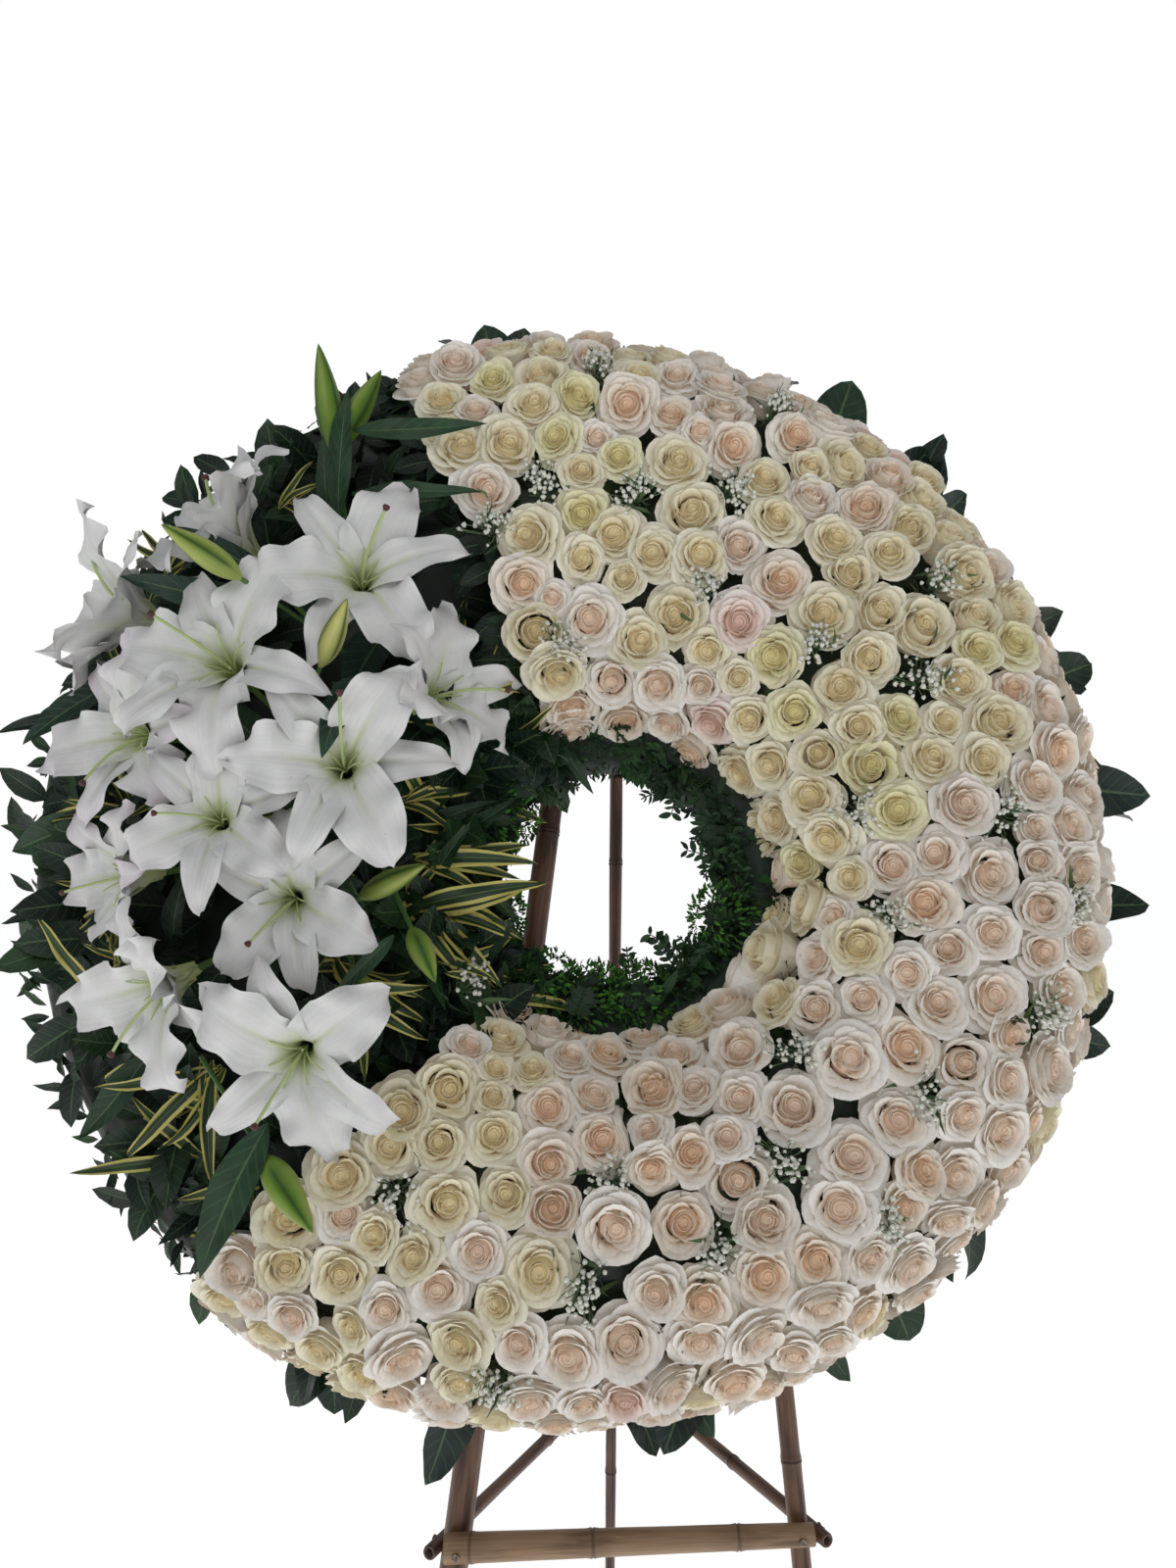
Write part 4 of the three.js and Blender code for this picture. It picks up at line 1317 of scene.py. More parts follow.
    def build(self, petal: Material, green: Material, slope: Slope) -> Piece:
        """Builds the flower on its stem."""
        random = np.random.default_rng(int(self.name[-2:]) * 7)
        axis = leaning(self.toward, self.tilt)
        size = self.radius * self.spread
        base = np.array([self.u, self.v, self.n]) - axis * self.depth * 0.1
        matrix = frames_on(axis[None], np.zeros(1))[0]
        mesh = Patches("open_" + self.name)
        for number in range(6):
            kind = self.broad if number % 2 else self.narrow
            lift = 0.0 if number % 2 else -0.035
            angle = self.turn + 60 * number + random.normal(0, 7)
            points, tint = self._tepal(kind, angle, random)
            mesh.add((points + [0, 0, lift]) @ matrix.T * size + base, tint)
        for points, tint in self._organs(random):
            mesh.add(points @ matrix.T * size + base, tint, 1)
        stem = float(np.clip((base[2] - self.root_height) / axis[2], *self.stem_range))
        path = base - axis * np.linspace(-0.008, stem, 8)[:, None]
        swell = 0.0032 + 0.003 * np.exp(-((np.linspace(0, 1, 8) / 0.14) ** 2))
        mesh.add(tube(path, swell, 8), self.stem_green, 1)
        return dress(mesh.build(slope, petal, green), "lily_petal", self.name)


LILIES = (
    Lily("lily_01", -0.395, 0.335, 0.215, 0.100, 138, 58, 20, 90, spread=1.3, openness=0.60),
    Lily("lily_02", -0.500, 0.268, 0.194, 0.095, 168, 66, 0, 90, spread=1.3, openness=0.62),
    Lily("lily_03", -0.268, 0.300, 0.225, 0.102, 60, 8, 8, 60),
    Lily("lily_04", -0.390, 0.198, 0.250, 0.106, 140, 14, -14, 150),
    Lily("lily_05", -0.490, 0.140, 0.203, 0.096, -165, 28, 12, 250, 0.75),
    Lily("lily_06", -0.394, 0.044, 0.246, 0.084, 60, 8, 18, 190, 0.2),
    Lily("lily_07", -0.272, 0.096, 0.250, 0.102, 0, 6, 0, 90),
    Lily("lily_08", -0.195, 0.183, 0.200, 0.095, 16, 51, 38, 10, openness=0.80),
    Lily("lily_09", -0.496, -0.002, 0.184, 0.084, 195, 48, 0, 200, 0.5, spread=1.2, openness=0.75),
    Lily("lily_10", -0.324, -0.030, 0.215, 0.090, -60, 10, 38, 230),
    Lily("lily_11", -0.442, -0.112, 0.210, 0.100, -140, 44, 0, 250, spread=1.1, openness=0.80),
    Lily("lily_12", -0.306, -0.178, 0.225, 0.100, -90, 16, -24, 240),
)


@dataclass(frozen=True)
class LilyBud:
    """A closed bud with three ribs, on its stem."""

    name: str
    start: Point
    tip: Point
    width: float
    ripe: float = 0.3
    twin: bool = False
    twin_length: float = 0.90
    twin_side: float = 36.0
    spin: float = 0.5
    root_height: float = 0.108
    stem_range: Pair = (0.030, 0.120)
    stem_radius: float = 0.0026
    rows: int = 22
    sides: int = 24
    green: Colour = paint(0x5E8A1C)
    pale: Colour = paint(0xD2D07E)
    groove: Colour = paint(0x263F12)
    stem_green: Colour = paint(0x4F7336)

    def _shape(self, length: float, width: float) -> tuple[Array, Array]:
        """A bud along n and its tints."""
        s = np.linspace(0, 1, self.rows)[:, None]
        turn = np.linspace(0, TURN, self.sides + 1)[None, :]
        outline = np.clip(np.sin(math.pi * s**0.80), 0, 1) ** 0.78 * (1 - 0.16 * s)
        lobes = np.cos(3 * turn)
        body = width / 2 * outline * (0.95 + 0.09 * lobes - 0.06 * (1 - np.abs(lobes)) ** 6)
        body = np.maximum(body, 0.0022 * (1 - smooth(0.0, 0.05, s)))
        points = polar(turn, body, np.broadcast_to(s * length, body.shape))
        points[:, -1] = points[:, 0]
        ripe = np.clip(self.ripe + 0.25 * lobes * smooth(0.1, 0.6, s), 0, 1)
        ripe = blend(self.green, self.pale, ripe)
        seam = smooth(0.55, 0.95, -lobes) * smooth(0.05, 0.3, s) * (1 - 0.5 * smooth(0.8, 1, s))
        tip = smooth(0.88, 1.0, np.broadcast_to(s, body.shape)) * 0.4
        return points, blend(blend(ripe, self.groove, seam * 0.9), self.groove, tip)

    def build(self, skin: Material, slope: Slope) -> Piece:
        """Builds the bud, and its twin if it has one."""
        start, tip = np.array(self.start), np.array(self.tip)
        axis = unit(tip - start)
        length = float(np.linalg.norm(tip - start))
        matrix = frames_on(axis[None], np.array([self.spin]))[0]
        mesh = Patches("closed_" + self.name)
        points, tint = self._shape(length, self.width)
        mesh.add(points @ matrix.T + start, tint)
        stem = float(np.clip((start[2] - self.root_height) / axis[2], *self.stem_range))
        path = start - axis * np.linspace(-0.004, stem, 7)[:, None]
        mesh.add(tube(path, self.stem_radius, 8), self.stem_green)
        if self.twin:
            side = math.radians(self.twin_side)
            cos, sin = math.cos(side), math.sin(side)
            lean = np.array([[cos, 0, sin], [0, 1, 0], [-sin, 0, cos]])
            points, tint = self._shape(length * self.twin_length, self.width)
            place = matrix @ lean
            mesh.add(points @ place.T + start + matrix[:, 2] * 0.010, tint)
        return dress(mesh.build(slope, skin), "lily_bud", self.name)


BUDS = (
    LilyBud("lily_bud_pair_top", (-0.312, 0.466, 0.180), (-0.334, 0.596, 0.196), 0.033, 0.05, True),
    LilyBud("lily_bud_03", (-0.376, 0.282, 0.280), (-0.438, 0.315, 0.336), 0.030, 0.35),
    LilyBud("lily_bud_04", (-0.298, 0.196, 0.262), (-0.266, 0.256, 0.296), 0.027, 0.8),
    LilyBud("lily_bud_05", (-0.262, -0.028, 0.200), (-0.192, 0.004, 0.222), 0.028, 0.3),
    LilyBud("lily_bud_06", (-0.212, -0.056, 0.180), (-0.182, -0.112, 0.205), 0.028, 0.15),
    LilyBud("lily_bud_07", (-0.268, -0.094, 0.190), (-0.240, -0.172, 0.214), 0.027, 0.2),
    LilyBud("lily_bud_08", (-0.338, -0.274, 0.222), (-0.284, -0.340, 0.240), 0.034, 0.1),
)


# --- Greenery ---


@dataclass(frozen=True)
class StripedSpray:
    """A fan of strap leaves with yellow margins; a spray with a node stands for it."""

    name: str
    u: float
    v: float
    n: float
    toward: float
    length: float
    spread: float
    rise: float
    leaves: int = 9
    node: str = ""
    middle: Colours = (paint(0x223A20), paint(0x2B4624))

    def build(self, striped: Material, slope: Slope) -> Piece:
        """Builds the spray."""
        random = np.random.default_rng(sum(map(ord, self.name)))
        angle = np.radians(self.toward + np.linspace(-0.5, 0.5, self.leaves) * self.spread)
        angle = angle + random.normal(0, 0.10, self.leaves)
        tilt = np.radians(self.rise + random.normal(14, 10, self.leaves))
        ways = polar(angle, np.cos(tilt), np.sin(tilt))
        roots = np.array([self.u, self.v, self.n]) - ways * 0.012
        roots = roots + random.normal(0, 0.004, ways.shape)
        faces = OUT + random.normal(0, 0.35, (self.leaves, 3))
        lengths = self.length * random.uniform(0.70, 1.15, self.leaves)
        mesh = Patches("striped_" + self.name, floor=FLOOR)
        Foliage.STRAP.value.plant(mesh, roots, ways, faces, lengths, self.middle, random)
        nodes = [self.node] if self.node else []
        return dress(mesh.build(slope, striped), "variegated_leaf", *nodes)


SPRAYS = (
    StripedSpray("hole", -0.222, -0.034, 0.130, 2, 0.150, 100, 8, 10, "spray_hole"),
    StripedSpray("rim", -0.520, 0.072, 0.134, 150, 0.125, 100, -4, 8, "spray_rim"),
    StripedSpray("low", -0.420, -0.205, 0.140, 240, 0.125, 90, 6, 10, "spray_low"),
    StripedSpray("hole_high", -0.215, 0.020, 0.125, 12, 0.135, 60, 8, 6),
    StripedSpray("hole_low", -0.210, -0.082, 0.120, 0, 0.120, 60, 5, 6),
    StripedSpray("hole_top", -0.225, 0.090, 0.130, 10, 0.095, 60, 5, 5),
    StripedSpray("left_low", -0.530, -0.030, 0.130, 216, 0.100, 100, 0, 9),
    StripedSpray("left_middle", -0.515, -0.085, 0.140, 150, 0.070, 90, 5, 6),
    StripedSpray("centre", -0.420, 0.040, 0.160, 20, 0.085, 60, 12, 5),
    StripedSpray("middle", -0.285, -0.100, 0.160, -40, 0.130, 50, 15, 7),
    StripedSpray("top", -0.375, 0.425, 0.150, 20, 0.070, 90, 10, 5),
    StripedSpray("crown", -0.500, 0.350, 0.150, 120, 0.075, 160, 10, 6),
)


@dataclass(frozen=True)
class LongLeaf:
    """A long, narrow lily leaf from its root to its tip."""

    root: Point
    tip: Point
    width: float


@dataclass(frozen=True)
class LongLeaves:
    """The long leaves of the lilies' stems."""

    leaves: tuple[LongLeaf, ...] = (
        LongLeaf((-0.290, 0.490, 0.195), (-0.148, 0.457, 0.225), 0.024),
        LongLeaf((-0.290, 0.416, 0.190), (-0.150, 0.400, 0.228), 0.021),
        LongLeaf((-0.304, 0.385, 0.188), (-0.306, 0.540, 0.192), 0.027),
        LongLeaf((-0.318, 0.390, 0.180), (-0.318, 0.470, 0.215), 0.020),
        LongLeaf((-0.352, 0.262, 0.235), (-0.500, 0.284, 0.262), 0.034),
        LongLeaf((-0.545, 0.210, 0.160), (-0.640, 0.150, 0.165), 0.030),
        LongLeaf((-0.335, -0.245, 0.225), (-0.404, -0.372, 0.230), 0.042),
        LongLeaf((-0.266, 0.186, 0.262), (-0.288, 0.100, 0.285), 0.028),
        LongLeaf((-0.332, 0.268, 0.240), (-0.430, 0.362, 0.272), 0.026),
        LongLeaf((-0.570, 0.066, 0.130), (-0.655, 0.030, 0.120), 0.042),
        LongLeaf((-0.225, -0.065, 0.205), (-0.275, -0.125, 0.220), 0.018),
        LongLeaf((-0.196, 0.262, 0.165), (-0.190, 0.180, 0.195), 0.040),
        LongLeaf((-0.245, 0.270, 0.170), (-0.300, 0.190, 0.200), 0.045),
        LongLeaf((-0.480, -0.180, 0.150), (-0.540, -0.270, 0.120), 0.034),
    )
    greens: Colours = (paint(0x1E3C24), paint(0x24452A), paint(0x1B3628))
    seed: int = 83

    def build(self, leaf: Material, slope: Slope) -> Piece:
        """Builds all the leaves as one piece."""
        random = np.random.default_rng(self.seed)
        mesh = Patches("long_lily_leaves", seed=9, floor=FLOOR)
        for spot in self.leaves:
            root = np.array([spot.root])
            way = np.array([spot.tip]) - root
            length = float(np.linalg.norm(way)) * 1.04
            shape = Leaf(spot.width / length, 0.42, 0.85, 0.35, 0.30, 0.012, rows=15, columns=7)
            face = OUT + random.normal(0, 0.3, (1, 3))
            start = way + 0.15 * length * OUT
            shape.plant(mesh, root, start, face, np.array([length]), self.greens, random)
        return dress(mesh.build(slope, leaf), "leaf")


@dataclass
class FoliageBed:
    """The dark leaves that the lilies stand in.

    A layer is a kind of leaf, how many there are, their shortest and longest, and the angle over
    the bed, in radians, that they stop short of the rim. The bank side's leaves stand along the
    last roses.
    """

    slope: Slope
    seed: int = 41
    shell_depth: float = 0.026
    layers: tuple[tuple[Foliage, int, float, float, float], ...] = (
        (Foliage.LAUREL, 430, 0.060, 0.095, 1.05),
        (Foliage.RUSCUS, 330, 0.045, 0.075, 1.05),
        (Foliage.RUSCUS, 640, 0.028, 0.042, 0.14),
        (Foliage.LAUREL, 170, 0.046, 0.066, 0.35),
        (Foliage.LILY, 50, 0.100, 0.150, 1.05),
    )
    leaf_depth: float = 0.022
    striped: tuple[Foliage, int, float, float, float] = (Foliage.STRAP, 90, 0.070, 0.125, 1.0)
    striped_depth: float = 0.020
    bank_side: int = 80
    bank_depth: float = 0.042
    bank_lengths: Pair = (0.038, 0.056)
    shell: Colour = paint(0x131F18)
    greens: Colours = (
        paint(0x15291A), paint(0x1A3420), paint(0x13261E), paint(0x244022),
    )
    striped_greens: Colours = (paint(0x2B4426), paint(0x35512B))

    def _spots(self, count: int, stop: float, random: Random) -> tuple[Array, Array]:
        """Random places on the bed, short of the rim by an angle, and the directions out of it."""
        angle = np.radians(random.uniform(FLOWER_END - 3, FLOWER_START + 363, count))
        start = 0.25 if stop < 1.0 else 0.5
        return self.slope.over(BED, angle, random.uniform(start, math.pi - stop, count))

    def build(self, leaf: Material, striped: Material) -> Piece:
        """Builds the bed as one piece."""
        random = np.random.default_rng(self.seed)
        mesh = Patches("lily_bed_leaves", seed=5, floor=FLOOR)
        turn = np.linspace(0.2, math.pi - 0.02, 13)
        angle = np.radians(np.linspace(FLOWER_END, FLOWER_START + 360, 19))
        turn, angle = np.meshgrid(turn, angle, indexing="ij")
        points, normals = self.slope.over(BED, angle, turn)
        mesh.add(points - normals * self.shell_depth, self.shell)
        for kind, count, low, high, stop in self.layers:
            points, normals = self._spots(count, stop, random)
            rise = 0.15 if stop < 1 else 0.55
            ways = unit(normals * rise + random.normal(0, 0.6, normals.shape))
            roots = points - normals * self.leaf_depth
            faces = unit(normals + [0, 0, 0.7])
            lengths = random.uniform(low, high, count)
            kind.value.plant(mesh, roots, ways, faces, lengths, self.greens, random)
        kind, count, low, high, stop = self.striped
        points, normals = self._spots(count, stop, random)
        ways = unit(normals * 0.6 + random.normal(0, 0.6, normals.shape))
        roots, lengths = points - normals * self.striped_depth, random.uniform(low, high, count)
        kind.value.plant(mesh, roots, ways, normals, lengths, self.striped_greens, random, 1)
        angle = np.radians(FLOWER_END + random.uniform(-3.5, 2, self.bank_side))
        points, normals = self.slope.over(DOME, angle, random.uniform(0.5, 2.6, self.bank_side))
        away = np.stack([-np.sin(angle), np.cos(angle), 0 * angle], -1)
        ways = unit(normals * 0.25 + away * 0.9 + random.normal(0, 0.35, normals.shape))
        lengths = random.uniform(*self.bank_lengths, self.bank_side)
        roots, faces = points - normals * self.bank_depth, normals + away * 0.5
        Foliage.LAUREL.value.plant(mesh, roots, ways, faces, lengths, self.greens, random)
        return dress(mesh.build(self.slope, leaf, striped), "leaf", "foliage_bed")


@dataclass
class FernCollar:
    """Fern fronds and moss round the hole.

    The profile is the shell's, as shares of the way from the lip to the rim and heights. A sprig
    is an angle, a heading and a length, and a lump of moss an angle and a radius.
    """

    slope: Slope
    seed: int = 53
    fronds: int = 90
    frond_lengths: Pair = (0.030, 0.062)
    pairs: int = 8
    tufts: int = 1300
    tuft_lengths: Pair = (0.008, 0.015)
    fillers: int = 700
    filler_lengths: Pair = (0.016, 0.034)
    uneven: float = 0.030
    lumps: Pairs = (
        (148, 0.054), (-166, 0.050), (-125, 0.050), (-100, 0.054), (-78, 0.050), (-18, 0.052),
    )
    lump_leaves: int = 420
    lump_lengths: Pair = (0.006, 0.012)
    sprigs: tuple[tuple[float, float, float], ...] = (
        (10, 165, 0.052), (-44, 150, 0.062), (-56, 122, 0.050), (60, -100, 0.045),
    )
    profile: Pairs = (
        (0.07, 0.020), (-0.055, 0.020), (-0.075, 0.045), (-0.05, 0.075), (0.015, 0.094),
        (0.06, 0.094),
    )
    shell: Colour = paint(0x14261A)
    fern: Colours = (paint(0x1D3A1F), paint(0x264A24), paint(0x18301C))
    moss: Colours = (paint(0x3A6E1E), paint(0x467E2A), paint(0x2C5C1C))

    def _off(self, angle: Array) -> Array:
        """How far the collar is set off to the rim: it is thick below right, thin above left."""
        return -self.uneven * np.cos(np.asarray(angle) + math.radians(45))

    def _frond(self, angle: float, random: Random) -> tuple[Array, Array, Array, Array, Array]:
        """One frond's stalk, and the roots, directions, faces and lengths of its leaflets."""
        share = random.uniform(-0.055, 0.05) + self._off(angle)
        height = np.array(random.uniform(0.050, 0.100))
        root = self.slope.point(np.array(angle), np.array(share), height)
        heading = angle + random.normal(0, 1.0)
        inward = -np.array([math.cos(heading), math.sin(heading), random.normal(-0.15, 0.45)])
        length = random.uniform(*self.frond_lengths)
        face = unit(OUT[0] + random.normal(0, 0.5, 3))
        end = root + unit(inward) * length
        path = curve(root, (root + end) / 2 + face * 0.010, end, self.pairs + 2)
        tangent = unit(np.gradient(path, axis=0))[1:-1]
        side = np.cross(tangent, square_to(np.broadcast_to(face, tangent.shape), tangent))
        taper = np.sin(math.pi * np.linspace(0.25, 0.95, self.pairs)) ** 0.8
        roots = np.repeat(path[1:-1], 2, axis=0)
        ways = np.stack([side + 0.75 * tangent, -side + 0.75 * tangent], 1).reshape(-1, 3)
        lengths = np.repeat(0.006 + 0.013 * taper, 2) * random.uniform(0.85, 1.15, 2 * self.pairs)
        return path, roots, ways, np.broadcast_to(face, ways.shape), lengths

    def build(self, leaf: Material, moss: Material) -> Piece:
        """Builds the collar as one piece."""
        random = np.random.default_rng(self.seed)
        mesh = Patches("fern_and_moss_collar", seed=6, floor=FLOOR)
        ring = np.linspace(0, TURN, 73)
        shell = []
        for share, height in self.profile:
            share = share + self._off(ring) * (share < 0.0)
            shell.append(self.slope.point(ring, share, np.array(height)))
        mesh.add(np.stack(shell), self.shell)
        for angle in np.linspace(0, TURN, self.fronds, endpoint=False):
            path, roots, ways, faces, lengths = self._frond(angle + random.normal(0, 0.05), random)
            tint = leaf_tints(self.fern, 1, random)
            mesh.add(tube(path, 0.0008, 4), tint[0])
            mesh.add(Foliage.PINNA.value.grids(roots, ways, faces, lengths, random), tint)
        self._add_sprigs(mesh, random)
        self._add_cover(mesh, random)
        self._add_lumps(mesh, random)
        return dress(mesh.build(self.slope, leaf, moss), "fern", "fern_collar")

    def _add_sprigs(self, mesh: Patches, random: Random) -> None:
        """Adds the sprigs that hang into the hole."""
        for degrees, heading, length in self.sprigs:
            turn, way = math.radians(degrees), math.radians(heading)
            root = self.slope.point(np.array(turn), -0.04 + self._off(turn), np.array(0.085))
            end = root + length * np.array([math.cos(way), math.sin(way), 0.12])
            path = curve(root, (root + end) / 2 + [0, 0, 0.012], end, 7)
            mesh.add(tube(path, np.linspace(0.0011, 0.0006, 7), 5), self.fern[2])
            tangent = unit(np.gradient(path, axis=0))[2:]
            side = unit(np.cross(tangent, OUT))
            ways = np.concatenate([side + 0.7 * tangent, -side + 0.7 * tangent])
            faces = OUT + random.normal(0, 0.35, ways.shape)
            lengths = random.uniform(0.011, 0.017, len(ways))
            roots = np.concatenate([path[2:]] * 2)
            Foliage.LAUREL.value.plant(mesh, roots, ways, faces, lengths, self.fern, random)

    def _add_cover(self, mesh: Patches, random: Random) -> None:
        """Adds the moss that covers the collar, and the leaves that fill it out to the roses."""
        angle = random.uniform(0, TURN, self.tufts)
        around = random.uniform(-0.4, 4.4, self.tufts)
        share = -0.025 - 0.050 * np.sin(around) + self._off(angle)
        roots = self.slope.point(angle, share, 0.058 - 0.038 * np.cos(around))
        ways = polar(angle, -np.sin(around), -np.cos(around))
        ways = ways + random.normal(0, 0.5, roots.shape)
        faces, lengths = -ways[:, ::-1], random.uniform(*self.tuft_lengths, self.tufts)
        Foliage.MOSS.value.plant(mesh, roots, ways, faces, lengths, self.fern, random)
        angle = random.uniform(0, TURN, self.fillers)
        share = random.uniform(-0.05, 0.13, self.fillers)
        share = share + self._off(angle) * (share < 0.03)
        roots = self.slope.point(angle, share, random.uniform(0.070, 0.098, self.fillers))
        ways = polar(angle, random.normal(-0.3, 0.6, self.fillers), 0.6)
        ways = ways + random.normal(0, 0.6, roots.shape)
        faces = OUT + random.normal(0, 0.6, roots.shape)
        lengths = random.uniform(*self.filler_lengths, self.fillers)
        Foliage.RUSCUS.value.plant(mesh, roots, ways, faces, lengths, self.fern, random)

    def _add_lumps(self, mesh: Patches, random: Random) -> None:
        """Adds the brighter lumps of moss."""
        count = self.lump_leaves
        for degrees, size in self.lumps:
            middle = np.array(-0.040) + self._off(np.radians(degrees))
            centre = self.slope.point(np.radians(degrees), middle, np.array(0.080))
            out = unit(random.normal(0, 1, (count, 3)))
            roots = centre + out * size * [0.75, 0.75, 0.5]
            ways = out + random.normal(0, 0.4, out.shape)
            faces, lengths = -out[:, ::-1], random.uniform(*self.lump_lengths, count)
            Foliage.MOSS.value.plant(mesh, roots, ways, faces, lengths, self.moss, random, 1)


@dataclass
class LeafFringe:
    """Leaves that stick out round the rim, behind the flowers.

    A clump is an angle, how many leaves it has, and how far they reach out or, below zero, stand
    back. The leaves of the round clumps are round. More leaves lie under them all.
    """

    slope: Slope
    seed: int = 67
    clumps: tuple[tuple[float, int, float], ...] = (
        (103, 3, 0.05), (96, 2, 0.04), (76, 2, 0.06), (66, 1, 0.09), (57, 2, 0.06),
        (53, 2, 0.09), (49, 2, 0.06), (41, 2, 0.06), (31, 3, 0.06), (24, 2, 0.05),
        (14, 2, 0.05), (5, 3, 0.04), (-3, 2, 0.04), (-15, 2, 0.05), (-43, 2, 0.04),
        (-49, 1, 0.04), (-58, 3, 0.05), (-64, 2, 0.04), (-81, 2, 0.04), (-91, 2, 0.06),
        (-108, 2, 0.04), (-122, 4, 0.04), (-131, 4, 0.01), (-137, 3, -0.03), (-148, 3, -0.09),
        (-160, 3, -0.09), (-172, 3, -0.08), (176, 3, -0.08), (166, 3, -0.09), (155, 3, -0.09),
        (144, 4, -0.09), (133, 4, -0.08), (122, 4, -0.05), (114, 5, 0.0),
    )
    round_clumps: tuple[int, ...] = (57, 122, -58)
    round_size: float = 0.75
    heights: Pair = (0.016, 0.050)
    lengths: Pair = (0.050, 0.085)
    under: int = 160
    under_heights: Pair = (0.014, 0.030)
    under_lengths: Pair = (0.045, 0.075)
    greens: Colours = (paint(0x162A1E), paint(0x1B3423), paint(0x152824))
    stalk: Colour = paint(0x2A3A24)

    def build(self, leaf: Material) -> Piece:
        """Builds the fringe as one piece."""
        random = np.random.default_rng(self.seed)
        mesh = Patches("rim_leaves", seed=7, floor=FLOOR)
        for degrees, count, extra in self.clumps:
            angle = np.radians(degrees + random.normal(0, 2.2, count))
            rim = self.slope.rim_radius(angle)
            height = random.uniform(*self.heights, count)
            roots = polar(angle, rim - 0.045 + min(extra, 0.0), height)
            swing = angle + random.normal(0, 0.5, count)
            ways = polar(swing, 1.0, random.normal(0.05, 0.25, count))
            lengths = random.uniform(*self.lengths, count) + max(extra, 0.0) * 0.7
            faces = OUT + random.normal(0, 0.5, (count, 3))
            kind = Foliage.CAMELLIA
            if degrees in self.round_clumps:
                kind, lengths = Foliage.ROUND, lengths * self.round_size
            kind.value.plant(mesh, roots, ways, faces, lengths, self.greens, random)
            for leaf_angle, root in zip(angle, roots):
                inside = polar(leaf_angle, math.hypot(*root[:2]) - 0.11, 0.020)
                path = curve(inside, (inside + root) / 2 + [0, 0, 0.010], root, 5)
                mesh.add(tube(path, np.linspace(0.0014, 0.0008, 5), 5), self.stalk)
        under = self.under
        angle = np.linspace(0, TURN, under, endpoint=False) + random.normal(0, 0.02, under)
        radius = self.slope.rim_radius(angle) - random.uniform(0.07, 0.12, under)
        roots = polar(angle, radius, random.uniform(*self.under_heights, under))
        ways = polar(angle + random.normal(0, 0.6, under), 1.0, random.normal(0.0, 0.12, under))
        faces = OUT + random.normal(0, 0.3, (under, 3))
        lengths = random.uniform(*self.under_lengths, under)
        Foliage.LAUREL.value.plant(mesh, roots, ways, faces, lengths, self.greens, random)
        return dress(mesh.build(self.slope, leaf), "leaf", "leaf_fringe")


@dataclass
class BabysBreath:
    """Sprigs of tiny white flowers that are tucked between the roses."""

    slope: Slope
    seed: int = 71
    sprigs: Pairs = SPRIGS
    florets: int = 56
    floret_radii: Pair = (0.0017, 0.0033)
    spread: float = 0.022
    depth: float = 0.030
    blades: int = 14
    blade_lengths: Pair = (0.026, 0.042)
    white: Colour = paint(0xEAEADF)
    green: Colour = paint(0x7E9A6E)
    greens: Colours = (paint(0x5E7A4C), paint(0x42603A))

    def _florets(self, centres: Array, sizes: Array, random: Random) -> tuple[Array, Array]:
        """Little ruffled balls of petals and their tints."""
        rows, columns = 4, 7
        up = np.linspace(0, math.pi, rows)[None, :, None]
        turn = np.linspace(0, TURN, columns)[None, None, :]
        phase = random.uniform(0, 6.28, (len(centres), 1, 1))
        lumps = 1 + 0.22 * np.sin(4 * turn + phase) * np.sin(up * 2)
        radius = sizes[:, None, None] * lumps
        points = polar(turn, radius * np.sin(up), radius * np.cos(up))
        points[:, :, -1] = points[:, :, 0]
        points = points + centres[:, None, None, :]
        base = smooth(0.55, 1.0, np.broadcast_to(up / math.pi, points.shape[:3]))
        return points, blend(self.white, self.green, base * 0.7)

    def build(self, petal: Material, green: Material) -> Piece:
        """Builds all the sprigs as one piece."""
        random = np.random.default_rng(self.seed)
        mesh = Patches("babys_breath", seed=8)
        for point, normal in zip(*self.slope.over(DOME, *DOME.turns(self.sprigs))):
            matrix = frames_on(normal[None], np.array([random.uniform(0, 6.28)]))[0]
            flat = random.normal(0, self.spread * 0.55, (self.florets, 2)) * [1.25, 0.85]
            rise = 0.004 - 9.0 * (flat**2).sum(-1) + random.normal(0, 0.005, self.florets)
            heads = np.c_[flat, rise] @ matrix.T + point
            sizes = random.uniform(*self.floret_radii, self.florets)
            points, tint = self._florets(heads, sizes, random)
            mesh.add(points, tint)
            root = point - normal * self.depth
            for head in heads:
                bend = (root + head) / 2 + random.normal(0, 0.004, 3)
                mesh.add(tube(curve(root, bend, head, 4), 0.0006, 3), self.green, 1)
            roots = root + random.normal(0, 0.012, (self.blades, 3))
            ways = normal + random.normal(0, 0.6, (self.blades, 3))
            faces, lengths = ways[:, ::-1], random.uniform(*self.blade_lengths, self.blades)
            Foliage.BLADE.value.plant(mesh, roots, ways, faces, lengths, self.greens, random, 1)
        return dress(mesh.build(self.slope, petal, green), "lily_petal")


# --- The easel ---


